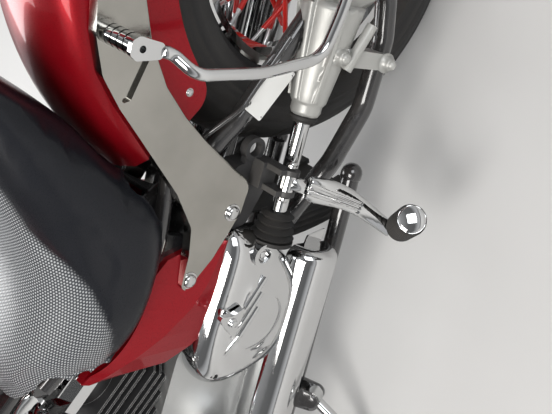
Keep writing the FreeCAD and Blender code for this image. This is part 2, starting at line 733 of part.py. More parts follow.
def turned_x(profile, at):
    """Revolve (r, x) rows about a fore and aft line through at."""
    face = Part.Face(line([(at[0] + dx, at[1] + r, at[2]) for r, dx in profile], closed=True))
    return face.revolve(V(*at), V(1, 0, 0), 360)


def dome(at, r, out):
    """Closed nut with a domed end, standing outward from a face."""
    rows = [(0, 0), (r, 0), (r, out * 0.45), (r * 0.8, out * 0.5)]
    rows += [(r * 0.8 * math.cos(math.radians(a)), out * (0.5 + 0.5 * math.sin(math.radians(a))))
             for a in (30, 60)]
    return turned_y(rows + [(0, out)], at, 1)


BOLT_X, BOLT_UP, BOLT_DOWN = 148.0, 9.0, -87.0   # strap's nuts: along, and from the axle's height
STRAP_Y, STRAP_THICK = 162.0, 6.0


def final_drive():
    """Tapered ribbed neck, bevel case beside the wheel, hub coupling and the strap below."""
    axle = REAR_AXLE.z
    neck = turned_x([(0, 0), (20, 0), (23, -6), (23, -16), (27, -22), (38, -100), (46, -165),
                     (0, -165)], (NECK_X, SHAFT_Y, SHAFT_Z))
    case = turned([(0, 98), (84, 98), (92, 104), (92, 138), (78, 152), (40, 158), (0, 158)],
                  REAR_AXLE)
    coupling = cyl((0, REAR_HUB_HALF + 14.5, axle), (0, 98, axle), 40.0)
    ribs = []
    for k in range(3):
        ang = math.radians(60 * k + 20)
        dy, dz = math.cos(ang), math.sin(ang)
        ribs.append(Part.Face(line([
            (NECK_X - 24, SHAFT_Y + 20 * dy, SHAFT_Z + 20 * dz),
            (NECK_X - 24, SHAFT_Y + 31 * dy, SHAFT_Z + 31 * dz),
            (NECK_X - 160, SHAFT_Y + 52 * dy, SHAFT_Z + 52 * dz),
            (NECK_X - 160, SHAFT_Y + 30 * dy, SHAFT_Z + 30 * dz)], closed=True)
        ).extrude(V(0, -dz, dy) * 5))
    rod = cyl((BOLT_X + 17, SHAFT_Y + 40, axle - 6), (BOLT_X - 51, SHAFT_Y + 46, axle - 28), 8.0)
    low, high = axle + BOLT_DOWN, axle + BOLT_UP
    strap = rounded([(BOLT_X - 12, low - 12), (BOLT_X + 12, low - 12), (BOLT_X + 13, high + 13),
                     (BOLT_X - 13, high + 13)], STRAP_Y, STRAP_THICK, 9)
    strap_out = STRAP_Y + STRAP_THICK
    posts = [cyl((BOLT_X, SHAFT_Y, low), (BOLT_X, STRAP_Y, low), 12.0),
             cyl((BOLT_X, SHAFT_Y, high), (BOLT_X, STRAP_Y, high), 14.0),
             cyl((BOLT_X, strap_out, low), (BOLT_X, strap_out + 4, low), 15.0),
             dome((BOLT_X, strap_out, high), 11.0, 15.0), dome((BOLT_X, strap_out + 4, low), 10.0, 16.0)]
    body = joined(neck, case, coupling, rod, strap, *posts, *ribs)
    return body.cut(cyl((0, 0, axle), (0, 300, axle), AXLE_R))


# Rear fender, struts and rail

def fender_envelope(extra):
    """Solid wheel-shaped body that the fender's outside fills."""
    out = u_profile(FENDER_CROWN_R + extra, FENDER_LIP_R, FENDER_HALF + extra, 1.0)[:12]
    return turned([(200, FENDER_HALF)] + out + [(200, -FENDER_HALF)], REAR_AXLE)


def rear_fender():
    profile = u_profile(FENDER_CROWN_R, FENDER_LIP_R, FENDER_HALF, FENDER_WALL)
    shell = turned(profile, REAR_AXLE, FENDER_TO - FENDER_FROM, FENDER_FROM)
    for end, way in ((FENDER_FROM, 1), (FENDER_TO, -1)):
        at = math.radians(end)
        out = V(math.cos(at), 0, math.sin(at))
        on = V(-math.sin(at), 0, math.cos(at)) * way
        tip = REAR_AXLE + out * FENDER_LIP_R
        rounder = Part.makeBox(2 * FENDER_CORNER, 4 * FENDER_HALF, 2 * FENDER_CORNER)
        rounder.translate(V(-FENDER_CORNER, -2 * FENDER_HALF, -FENDER_CORNER))
        rounder.rotate(V(0, 0, 0), V(0, 1, 0), -math.degrees(at))
        rounder.translate(tip)
        centre = tip + out * FENDER_CORNER + on * FENDER_CORNER
        across = V(0, 2.5 * FENDER_HALF, 0)
        keep = cyl(tuple(centre - across), tuple(centre + across), FENDER_CORNER)
        shell = shell.cut(rounder.cut(keep))
    return shell


GUARD_R, GUARD_HALF, GUARD_WALL = FENDER_CROWN_R - 6, 42.0, 3.0
GUARD_RIBS = 7
GUARD_FROM = -28.0       # degrees below the axle where it ends
FIN_FROM, FIN_TO, FIN_OUT = -29.0, -9.5, 492.0   # side leaves ahead of the guard


def inner_mudguard():
    """Splash guard ahead of the wheel: ribbed sheet with a ribbed leaf at each side."""
    r, half = GUARD_R, GUARD_HALF
    rows = [(r, -half), (r + GUARD_WALL, -half)]
    pitch = 2 * half / (GUARD_RIBS + 1)
    for k in range(1, GUARD_RIBS + 1):
        y = -half + k * pitch
        rows += [(r + GUARD_WALL, y - 2), (r + GUARD_WALL + 3, y - 1.2), (r + GUARD_WALL + 3, y + 1.2),
                 (r + GUARD_WALL, y + 2)]
    rows += [(r + GUARD_WALL, half), (r, half)]
    sheet = turned(rows, REAR_AXLE, FENDER_FROM - GUARD_FROM, GUARD_FROM)
    leaves = []
    for side in (1, -1):
        y0, y1 = sorted((side * (half - GUARD_WALL), side * (half + 22)))
        foot = turned([(r - 6, y0), (r + GUARD_WALL, y0), (r + GUARD_WALL, y1), (r - 6, y1)],
                      REAR_AXLE, FIN_TO - FIN_FROM, FIN_FROM)
        y2, y3 = sorted((side * (half + 19), side * (half + 22)))
        leaves.append(foot)
        leaves.append(turned([(r - 6, y2), (FIN_OUT, y2), (FIN_OUT, y3), (r - 6, y3)], REAR_AXLE,
                             FIN_TO - FIN_FROM, FIN_FROM))
        y4, y5 = sorted((side * (half + 21), side * (half + 25)))
        for k in range(5):
            a = r + 4 + k * (FIN_OUT - r - 8) / 4
            leaves.append(turned([(a - 2, y4), (a + 2, y4), (a + 1.2, y5), (a - 1.2, y5)], REAR_AXLE,
                                 FIN_TO - FIN_FROM, FIN_FROM))
    return joined(sheet, *leaves)


STRUT_LINE = [
    (524, 487), (461, 486), (418, 493), (365, 531), (290, 605), (250, 645), (212, 676),
    (165, 694), (100, 703), (-60, 700), (-140, 688), (-150, 660), (-60, 650), (100, 640),
    (166, 614), (220, 579), (258, 540), (289, 500), (333, 433), (352, 398), (400, 402),
    (448, 424), (508, 452)]
STRUT_TOP = 10           # points of the outline that lie along its top edge
STRUT_CORNER = 26.0


def strut_left():
    """Formed cover over the fender's stay: shaped plate, thin flange on top, slanting slot."""
    body = rounded(STRUT_LINE, STRUT_Y, STRUT_THICK, STRUT_CORNER)
    front = [e for e in body.Edges if abs(e.CenterOfMass.y - STRUT_Y - STRUT_THICK) < 0.01]
    body = body.makeFillet(2.5, front)
    face = rounded_face(STRUT_LINE, STRUT_Y, STRUT_CORNER)
    lip = face.cut(face.makeOffset2D(-STRUT_LIP)).extrude(V(0, STRUT_THICK + STRUT_LIP_OUT, 0))
    top = STRUT_LINE[:STRUT_TOP]
    above = plate([(x, z - 9) for x, z in top] + [(x, z + 90) for x, z in top[::-1]],
                  STRUT_Y, STRUT_THICK + STRUT_LIP_OUT)
    slot = rounded([(246, 643), (240, 629), (182, 612), (186, 626)], STRUT_Y + STRUT_THICK - 6, 20,
                   5.0)
    return joined(body.cut(slot), lip.common(above))


RAIL_FOOT = (161.0, 676.0)
RAIL_BACK = (-40.0, 674.0)


def rail_standoff(fx, fz):
    """Spacer rings on the strut, the flat tab that ends them and the open bolt hole."""
    start = STRUT_Y + STRUT_THICK
    long = (TAB_Y - start) / SPACER_COUNT
    pieces = [rounded([(fx - 9, fz - TAB_DROP), (fx + 9, fz - TAB_DROP), (fx + 14, fz + 6),
                       (fx + 8, fz + 15), (fx - 8, fz + 15), (fx - 14, fz + 6)], TAB_Y, TAB_THICK, 6)]
    for k in range(SPACER_COUNT):
        a = start + k * long
        pieces.append(cyl((fx, a, fz), (fx, a + long - 3, fz), SPACER_R))
        pieces.append(cyl((fx, a + long - 3, fz), (fx, a + long, fz), SPACER_R - 3.5))
    end = TAB_Y + TAB_THICK
    return joined(*pieces).cut(cyl((fx, end - RAIL_HOLE_DEEP, fz), (fx, end + 5, fz), RAIL_HOLE_R))


def luggage_rail():
    """Bent tube hung between the two tabs."""
    x, z = RAIL_FOOT
    xb, zb = RAIL_BACK
    y = RAIL_OUT
    top = TAB_Y + TAB_THICK / 2
    pts = [(x, top, z - TAB_DROP), (x + 2, top + 2, z - TAB_DROP - 14), (180, y - 6, 612),
           (169, y, 520), (142, y, 426), (66, y + 2, 412), (-84, y + 2, 416), (-122, y, 476),
           (-92, y - 6, 590), (xb - 4, top + 4, zb - TAB_DROP - 20), (xb, top, zb - TAB_DROP)]
    return tube(pts, RAIL_TUBE_R, [20, 50, 200, 40, 300, 40, 120, 50, 20])


# Body work

SEAT_ROWS = [
    # x, middle z, half width, up, down
    (716, 664, 54, 34, 24), (655, 630, 112, 70, 62), (585, 606, 146, 94, 74),
    (494, 602, 156, 106, 92), (400, 638, 152, 118, 124), (340, 692, 140, 104, 118),
    (290, 750, 126, 74, 84), (242, 798, 106, 40, 38), (226, 806, 92, 18, 16)]
SEAT_POWER = 3.0
SEAT_TUNNEL = 112.0      # half width of the hollow below the seat
PAD_ROWS = [(112, 786, 44, 26, 22), (92, 786, 62, 40, 50), (20, 788, 72, 46, 60),
            (-60, 778, 66, 38, 60), (-88, 768, 44, 20, 30)]

TANK_REAR, TANK_CLEAR = 716.0, 144.5     # tank's rear end; its nose behind the head's middle
TANK_ROWS = [
    # share of the length, middle z, half width, up, down
    (1.0, 838, 62, 44, 40), (0.85, 838, 116, 74, 60), (0.635, 824, 150, 90, 76),
    (0.365, 798, 150, 86, 74), (0.16, 762, 118, 70, 60), (0.0, 732, 66, 38, 26)]
CONSOLE_ROWS = [
    # share of the length, middle z, half width, up, down
    (0.8, 900, 16, 8, 14), (0.74, 906, 40, 16, 30), (0.62, 908, 52, 22, 30), (0.46, 892, 44, 18, 30),
    (0.28, 864, 32, 14, 26), (0.16, 838, 14, 7, 12)]

def seat():
    body = swept([oval(x, 0, z, w, up, low, SEAT_POWER) for x, z, w, up, low in SEAT_ROWS])
    tunnel = plate([(760, 400), (760, 672), (650, 664), (560, 592), (400, 592), (352, 610),
                    (250, 400)], -SEAT_TUNNEL, 2 * SEAT_TUNNEL)
    (x, z), (foot_x, foot_z) = BACKBONE_TOP, BACKBONE_FOOT
    backbone = cyl((x, 0, z), (foot_x - 10, 0, foot_z - 6), BACKBONE_R + 1)
    body = body.cut(tunnel).cut(fender_envelope(0.3)).cut(backbone)
    return body.cut(block(600, 760, -80, 80, 560, foot_z + 34))


def pillion_pad():
    body = swept([oval(x, 0, z, w, up, low, SEAT_POWER) for x, z, w, up, low in PAD_ROWS])
    return body.cut(fender_envelope(0.3))


def tank_x(share):
    return TANK_REAR + share * (HEAD_X - TANK_CLEAR - TANK_REAR)


def fuel_tank():
    body = swept([oval(tank_x(t), 0, z, w, up, low) for t, z, w, up, low in TANK_ROWS])
    (x, z), (foot_x, foot_z) = BACKBONE_TOP, BACKBONE_FOOT
    tunnel = plate([(x + 190, 600), (x + 190, z + 54), (x, z + 34), (foot_x - 10, foot_z + 28),
                    (foot_x - 10, 600)], -TUNNEL_HALF, 2 * TUNNEL_HALF)
    return body.cut(tunnel)


def console():
    """Long pod along the top of the tank with the round dial and the filler cap on it."""
    pod = swept([oval(tank_x(t), 0, z, w, up, low) for t, z, w, up, low in CONSOLE_ROWS])
    dial = tilted_disc(tank_x(0.64), 912, 45.0, 22.0, 8.0)
    cap = tilted_disc(tank_x(0.34), 876, 27.0, 14.0, 20.0)
    return joined(pod, dial, cap)


def tilted_disc(x, z, r, high, lean_back):
    """Round piece that leans back towards the rider."""
    k = math.radians(lean_back)
    return Part.makeCylinder(r, high, V(x, 0, z), V(-math.sin(k), 0, math.cos(k)))


SIDE_COVER = [
    # x, low edge, crease, top edge, crease from the middle, top edge from the middle
    (446, 368, 416, 430, 122, 108), (476, 354, 428, 505, 127, 108), (512, 356, 440, 530, 130, 109),
    (548, 372, 460, 553, 131, 116), (590, 408, 500, 576, 131, 119), (620, 436, 543, 592, 130, 119),
    (646, 476, 588, 606, 126, 118), (658, 560, 602, 612, 118, 114)]


def side_cover_left():
    """Painted panel with a raised crease that follows its lower edge."""
    wires = []
    for x, low, crease, top, crease_y, top_y in SIDE_COVER:
        wires.append(line([(x, COVER_Y, low), (x, crease_y - 8, low), (x, crease_y, crease),
                           (x, top_y, top), (x, COVER_Y, top)], closed=True))
    return Part.makeLoft(wires, True, True)


# Engine

ENGINE_AT = (840.0, 320.0)
V_TILT = 30.0
FIN_HALF = 78.0
FIN_COUNT = 9
CASE_HALF = 92.0


def crankcase():
    outline = [(592, 250), (640, 205), (985, 205), (1040, 260), (1050, 345), (985, 425),
               (905, 436), (840, 400), (775, 436), (660, 430), (592, 390)]
    return rounded(outline, -CASE_HALF, 2 * CASE_HALF, 40)


def square_slab(centre, along, size, low, high, r):
    """Rounded square prism standing on an inclined axis."""
    side = V(0, 1, 0)
    other = along.cross(side).normalize()
    pts = []
    for k in range(4):
        a = math.radians(45 + 90 * k)
        corner = (side * math.cos(a) + other * math.sin(a)) * (math.sqrt(2) * size)
        for turn in (-1, 1):
            nxt = math.radians(45 + 90 * (k + turn))
            towards = (side * math.cos(nxt) + other * math.sin(nxt)) * (math.sqrt(2) * size)
            pts.append(centre + along * low + corner + (towards - corner).normalize() * r)
    order = [pts[0], pts[1], pts[2], pts[3], pts[4], pts[5], pts[6], pts[7]]
    return Part.Face(Part.makePolygon(order + [order[0]])).extrude(along * (high - low))


def cylinder_unit(way):
    """Finned barrel and head of one cylinder, with its rocker cover left to another piece."""
    k = math.radians(V_TILT) * way
    along = V(math.sin(k), 0, math.cos(k))
    base = V(ENGINE_AT[0], 0, ENGINE_AT[1])
    core = Part.makeCylinder(56.0, 180.0, base + along * 95, along)
    fins = [core]
    for n in range(FIN_COUNT):
        d = 118 + n * 14.5
        fins.append(square_slab(base, along, FIN_HALF - (6 if n > 5 else 0), d, d + 4.5, 18))
    unit = joined(*fins)
    return unit.cut(crankcase())


def rocker_cover(way):
    k = math.radians(V_TILT) * way
    along = V(math.sin(k), 0, math.cos(k))
    base = V(ENGINE_AT[0], 0, ENGINE_AT[1])
    low = square_slab(base, along, 70, 275, 296, 20)
    top = square_slab(base, along, 56, 296, 312, 18)
    return joined(low, top)


BULGE_AT = (572.0, 338.0)
BULGE_ROWS = [
    # x, z round the foot of the bulge
    (436, 392), (446, 342), (492, 276), (545, 240), (610, 240), (662, 268), (694, 326), (696, 385),
    (664, 414), (590, 426), (500, 420)]
BULGE_STEPS = ((92, 1.06), (116, 1.04), (134, 0.94), (145, 0.74), (151, 0.42))   # y, size
FLANK_AT, FLANK_R = (118.0, 226.0), 50.0
FLANK_X = (466.0, 930.0)
BOSS_AT, BOSS_Y, BOSS_RECESS = (463.0, 358.0), 150.0, 7.0
PIVOT_ROOM_Y = 117.0     # hollow behind the bulge, for the swingarm's pivot
STAR_AT, STAR_ARMS, STAR_Y = (568.0, 397.0), (111.0, 218.0, 338.0), 150.0


def star():
    """Three-armed cap on its post, over the lower edge of the side cover."""
    pts = []
    for k, arm in enumerate(STAR_ARMS):
        after = STAR_ARMS[(k + 1) % 3] + (360.0 if k == 2 else 0.0)
        for deg, r in ((arm, 34.0), ((arm + after) / 2, 13.0)):
            a = math.radians(deg)
            pts.append((STAR_AT[0] + r * math.cos(a), STAR_AT[1] + r * math.sin(a)))
    cap = rounded(pts, STAR_Y, 9.0, 4.0)
    x, z = STAR_AT
    return joined(cap, cyl((x, CASE_HALF, z), (x, STAR_Y, z), 13.0), dome((x, STAR_Y + 9, z), 8.0, 6.0))


def engine_cover_left():
    """Flowing plated bulge with curved ribs, bosses and star cap over a long round flank."""
    cx, cz = BULGE_AT
    wires = []
    for y, size in BULGE_STEPS:
        wires.append(smooth_wire([(cx + (x - cx) * size, y, cz + (z - cz) * size)
                                  for x, z in BULGE_ROWS]))
    bulge = Part.makeLoft(wires, True, False)
    y, z = FLANK_AT
    flank = cyl((FLANK_X[0], y, z), (FLANK_X[1], y, z), FLANK_R)
    flank = flank.makeFillet(20.0, [e for e in flank.Edges if len(e.Vertexes) == 1])
    flank = flank.cut(block(300, 1200, 0, CASE_HALF, 0, 500))
    ribs = [tube([(cx + 96 - k, 104, cz + 64), (cx + 74 - k, 140, cz + 50),
                  (cx + 26 - k, 150, cz + 30), (cx - 20 - k, 149, cz + 6)], 5.0, 40.0)
            for k in (0, 26, 52)]
    bx, bz = BOSS_AT
    boss = cyl((bx, 100, bz), (bx, BOSS_Y, bz), 19.0)
    points = cyl((850, 130, 262), (850, FLANK_AT[0] + FLANK_R, 262), 52.0)
    gusset = rounded([(486, 246), (452, 240), (440, 200), (464, 204)], 112, 8, 4)
    body = joined(bulge, flank, star(), boss, points, gusset, *ribs)
    body = body.cut(cyl((bx, BOSS_Y - BOSS_RECESS, bz), (bx, BOSS_Y + 1, bz), 12.0))
    body = joined(body, dome((bx, BOSS_Y - BOSS_RECESS, bz), 8.0, 5.0))
    return body.cut(block(380, 594, 0, PIVOT_ROOM_Y, 100, 500))


def engine_cover_right():
    clutch = turned_y([(0, 0), (112, 0), (112, 34), (98, 50), (0, 56)], (870, -CASE_HALF, 300), -1)
    gear = turned_y([(0, 0), (66, 0), (66, 22), (54, 32), (0, 34)], (700, -CASE_HALF, 300), -1)
    return joined(clutch, gear)


def turned_y(profile, at, way):
    """Revolve (r, out) rows about a cross line through at."""
    face = Part.Face(line([(at[0] + r, at[1] + way * out, at[2]) for r, out in profile], closed=True))
    return face.revolve(V(*at), V(0, 1, 0), 360)


def air_cleaner():
    body = turned_y([(0, 0), (40, 0), (40, 12), (92, 16), (96, 26), (96, 58), (84, 70), (0, 74)],
                    (840, -64, 560), -1)
    neck = cyl((840, 0, 520), (840, -64, 552), 26.0)
    return joined(body, neck)


def exhaust_front():
    pipe = tube([(1029, -8, 492), (1092, -30, 452), (1112, -120, 330), (1064, -158, 200),
                 (860, -160, 168), (640, -192, 160), (556, -196, 160)], 21.0, [40, 60, 80, 120, 120])
    return joined(pipe, muffler(560, -196, 160, -200))


def exhaust_rear():
    pipe = tube([(712, -66, 520), (712, -122, 506), (704, -142, 420), (690, -153, 330),
                 (610, -178, 276), (474, -196, 252)], 21.0, [34, 60, 60, 90])
    return joined(pipe, muffler(478, -196, 252, -240))


def muffler(front, y, z, rear):
    """Long can: cone up from the pipe, straight body, turned-in end with an open outlet."""
    rows = [(0, front), (23, front), (38, front - 110), (41, front - 140), (41, rear + 20),
            (36, rear), (26, rear), (26, rear + 60), (0, rear + 60)]
    face = Part.Face(line([(x, y + r, z) for r, x in rows], closed=True))
    return face.revolve(V(0, y, z), V(1, 0, 0), 360)


# Pegs, pedals and stand

RIDER_PEG_BACK, RIDER_PEG_Z = 120.0, 252.0    # rider's peg behind the frame's front knee


def rider_peg(side):
    x, z = KNEE_X - RIDER_PEG_BACK, RIDER_PEG_Z
    post = tube([(x - 6, side * RAIL_Y, RAIL_Z + 8), (x - 4, side * (RAIL_Y + 3), z - 18),
                 (x, side * 172, z)], 9.0, 20.0)
    rubber = cyl((x, side * 168, z), (x, side * 286, z), 20.0)
    knob = cyl((x, side * 286, z), (x, side * 292, z), 16.0)
    arm = tube([(x + 2, side * 182, z + 2), (x + 90, side * 198, z - 2), (x + 150, side * 202, z + 20)],
               6.0, 50.0)
    toe = cyl((x + 150, side * 194, z + 20), (x + 150, side * 262, z + 20), 10.0)
    return joined(post, rubber, knob, arm, toe).cut(cradle(side))


def peg_bracket(side):
    """Cast bracket with a clevis for the folding peg and an open lashing eye behind it."""
    p = PEG_PIVOT
    arm = rounded([(322, 376), (360, 352), (426, 376), (434, 400), (420, 430), (380, 434),
                   (332, 420)], 74, STRUT_Y - 74, 14)
    ears = []
    for dx in (-20, 12):
        ear = cyl((p.x + dx, p.y, p.z), (p.x + dx + 8, p.y, p.z), 14.0)
        web = block(p.x + dx, p.x + dx + 8, STRUT_Y - 6, p.y + 6, p.z, p.z + 24)
        ears.append(joined(ear, web))
    back = block(p.x - 20, p.x + 20, STRUT_Y - 14, STRUT_Y + 24, p.z + 2, p.z + 30)
    pin = cyl((p.x - 24, p.y, p.z), (p.x + 24, p.y, p.z), PEG_PIN_R)
    eye = joined(cyl((EYE_AT[0], 98, EYE_AT[1]), (EYE_AT[0], 112, EYE_AT[1]), EYE_R),
                 block(EYE_AT[0], 340, 98, 110, EYE_AT[1] - 12, EYE_AT[1] + 12))
    body = joined(arm, back, pin, eye, *ears)
    body = body.cut(cyl((EYE_AT[0], 60, EYE_AT[1]), (EYE_AT[0], 200, EYE_AT[1]), EYE_R - EYE_WALL))
    return body if side > 0 else mirrored(body)


EYE_AT, EYE_R, EYE_WALL = (306.0, 394.0), 18.0, 7.0

PEG_ROWS = [
    # point on the arm's middle line, half width, half thickness
    (V(338, 182, 343), 17.0, 9.0), (V(340, 190, 327), 20.0, 10.5), (V(344, 202, 296), 19.0, 10.5),
    (V(356, 216, 260), 15.0, 10.5), (V(374, 234, 226), 12.5, 10.5), (V(385, 247, 206), 11.5, 10.0)]
PEG_IN, PEG_OUT = V(374, 262, 204), V(331, 322, 272)
FLUTE_R, FLUTE_PITCH = 2.4, 9.5        # three grooves down the arm's outer face
PEG_FACE = V(0.1, 0.9, 0.42).normalize()


def peg_arm():
    """Hub between the ears, fluted casting that tapers to an eye, core and end cap."""
    p = PEG_PIVOT
    hub_p = cyl((p.x - 11.7, p.y, p.z), (p.x + 11.7, p.y, p.z), 13.0)
    neck = cyl((p.x, p.y, p.z), (p.x, 182, 346), 10.5)
    casting = tapered([r[0] for r in PEG_ROWS], [r[1] for r in PEG_ROWS], [r[2] for r in PEG_ROWS],
                      PEG_FACE)
    a, b = PEG_ROWS[0][0], PEG_ROWS[3][0]
    side = (b - a).cross(PEG_FACE).normalize()
    out = side.cross(b - a).normalize()
    if out.dot(PEG_FACE) < 0:
        out = out * -1
    for k in (-1, 0, 1):
        start = a + out * (PEG_ROWS[1][2] + 1.0) + side * (k * FLUTE_PITCH)
        end = b + out * (PEG_ROWS[3][2] + 0.5) + side * (k * FLUTE_PITCH * 0.7)
        casting = casting.cut(cyl(tuple(start - (end - start) * 0.1), tuple(end), FLUTE_R + 0.6))
    d = peg_way()
    eye = Part.makeCylinder(PEG_RUBBER_R - 3.5, 14.0, PEG_IN - d * 12, d)
    core = Part.makeCylinder(PEG_CORE_R, (PEG_OUT - PEG_IN).Length + 2, PEG_IN, d)
    cap = Part.makeCylinder(PEG_RUBBER_R - 1.5, 3.0, PEG_OUT, d)
    body = joined(hub_p, neck, casting, eye, core, cap)
    return body.cut(cyl((p.x - 30, p.y, p.z), (p.x + 30, p.y, p.z), PEG_PIN_R + RUN_GAP))


def peg_way():
    return (PEG_OUT - PEG_IN).normalize()


def peg_rubber():
    """Sleeve round the peg's core, between the eye and the end cap."""
    d = peg_way()
    long = (PEG_OUT - PEG_IN).Length - 2.0
    sleeve = Part.makeCylinder(PEG_RUBBER_R, long, PEG_IN + d * 2, d)
    return sleeve.cut(Part.makeCylinder(PEG_CORE_R, long + 4, PEG_IN, d))


UP = V(0, -math.sin(math.radians(LEAN)), math.cos(math.radians(LEAN)))
GROUND = -REAR_TYRE_HALF * (1 - math.cos(math.radians(LEAN)))
FOOT_XY = (852.0, 286.0)
FOOT = V(FOOT_XY[0], FOOT_XY[1], (GROUND - FOOT_XY[1] * UP.y) / UP.z)
STAND_ALONG = (FOOT - STAND_PIVOT).normalize()
STAND_UP = V(-0.985, 0.15, 0.08).normalize()
STAND_AXIS = STAND_ALONG.cross(STAND_UP).normalize()


def stand_lug():
    """Two ears and the pin that carry the side stand, below the left rail."""
    n = STAND_AXIS
    inward = (V(STAND_PIVOT.x, RAIL_Y - 2, RAIL_Z) - STAND_PIVOT)
    inward = (inward - n * inward.dot(n)).normalize()
    across = n.cross(inward).normalize()
    ears = []
    for low in (-21.0, 12.6):
        at = STAND_PIVOT + n * low
        ear = Part.makeCylinder(17.0, 8.4, at, n)
        pts = [at + across * 17, at - across * 17, at - across * 20 + inward * 34,
               at + across * 20 + inward * 34]
        web = Part.Face(Part.makePolygon(pts + [pts[0]])).extrude(n * 8.4)
        ears.append(joined(ear, web))
    pin = Part.makeCylinder(STAND_PIN_R, 44.0, STAND_PIVOT - n * 22, n)
    return joined(ears[0], ears[1], pin)


def side_stand():
    n = STAND_AXIS
    hub_s = Part.makeCylinder(17.0, 24.6, STAND_PIVOT - n * 12.3, n)
    leg_end = FOOT + UP * 14
    leg = tube([tuple(STAND_PIVOT), tuple(STAND_PIVOT + STAND_ALONG * 90 + V(0, 0, 6)),
                tuple(leg_end)], 10.5, 200.0)
    pad = Part.makeCylinder(31.0, 9.0, FOOT, UP)
    stem = cyl(tuple(FOOT + UP * 4), tuple(FOOT + UP * 22), 11.5)
    body = joined(hub_s, leg, pad, stem)
    return body.cut(Part.makeCylinder(STAND_PIN_R + RUN_GAP, 60.0, STAND_PIVOT - n * 30, n))


# Lamps and plate at the tail

def tail_lamp():
    k = math.radians(124.0)
    at = V((FENDER_CROWN_R + 6) * math.cos(k), 0, REAR_AXLE.z + (FENDER_CROWN_R + 6) * math.sin(k))
    body = Part.makeSphere(1.0)
    m = FreeCAD.Matrix()
    m.scale(70.0, 58.0, 34.0)
    body = body.transformGeometry(m)
    body.rotate(V(0, 0, 0), V(0, 1, 0), -(124.0 - 90))
    body.translate(at)
    body = body.cut(fender_envelope(0.0))
    front = body.common(block(at.x - 18, at.x + 200, -100, 100, at.z - 200, at.z + 200))
    lens = body.common(block(at.x - 200, at.x - 18, -100, 100, at.z - 200, at.z + 200))
    return front, lens


PLATE_TILT = 14.0
PLATE_PITCH, PLATE_HOLE_R, PLATE_HOLE_UP = 120.0, 3.5, 40.0
PLATE_BACK = 26.0        # plate behind the fender


def plate_place():
    """Middle of the plate's outer face."""
    k = math.radians(152.0)
    return V(FENDER_CROWN_R * math.cos(k) - PLATE_BACK, 0,
             REAR_AXLE.z + FENDER_CROWN_R * math.sin(k))


def plate_bracket():
    """Blank plate on a bracket that stands off the tail."""
    board = block(-3, 0, -90, 90, -60, 60)
    post = block(-1, 46, -24, 24, -16, 16)
    body = joined(board, post)
    for s in (1, -1):
        y = s * PLATE_PITCH / 2
        body = body.cut(cyl((-10, y, PLATE_HOLE_UP), (10, y, PLATE_HOLE_UP), PLATE_HOLE_R))
    body.rotate(V(0, 0, 0), V(0, 1, 0), PLATE_TILT)
    body.translate(plate_place())
    return body.cut(fender_envelope(0.0))


def rear_signals():
    out = []
    for side in (1, -1):
        y = side * (STRUT_Y + STRUT_THICK)
        at = V(-136, side * 192, 672)
        out.append(joined(cyl((-126, y, 672), (-126, side * 180, 672), 7.0), lamp_bullet(at, -1)))
    return group(out)


# The whole machine

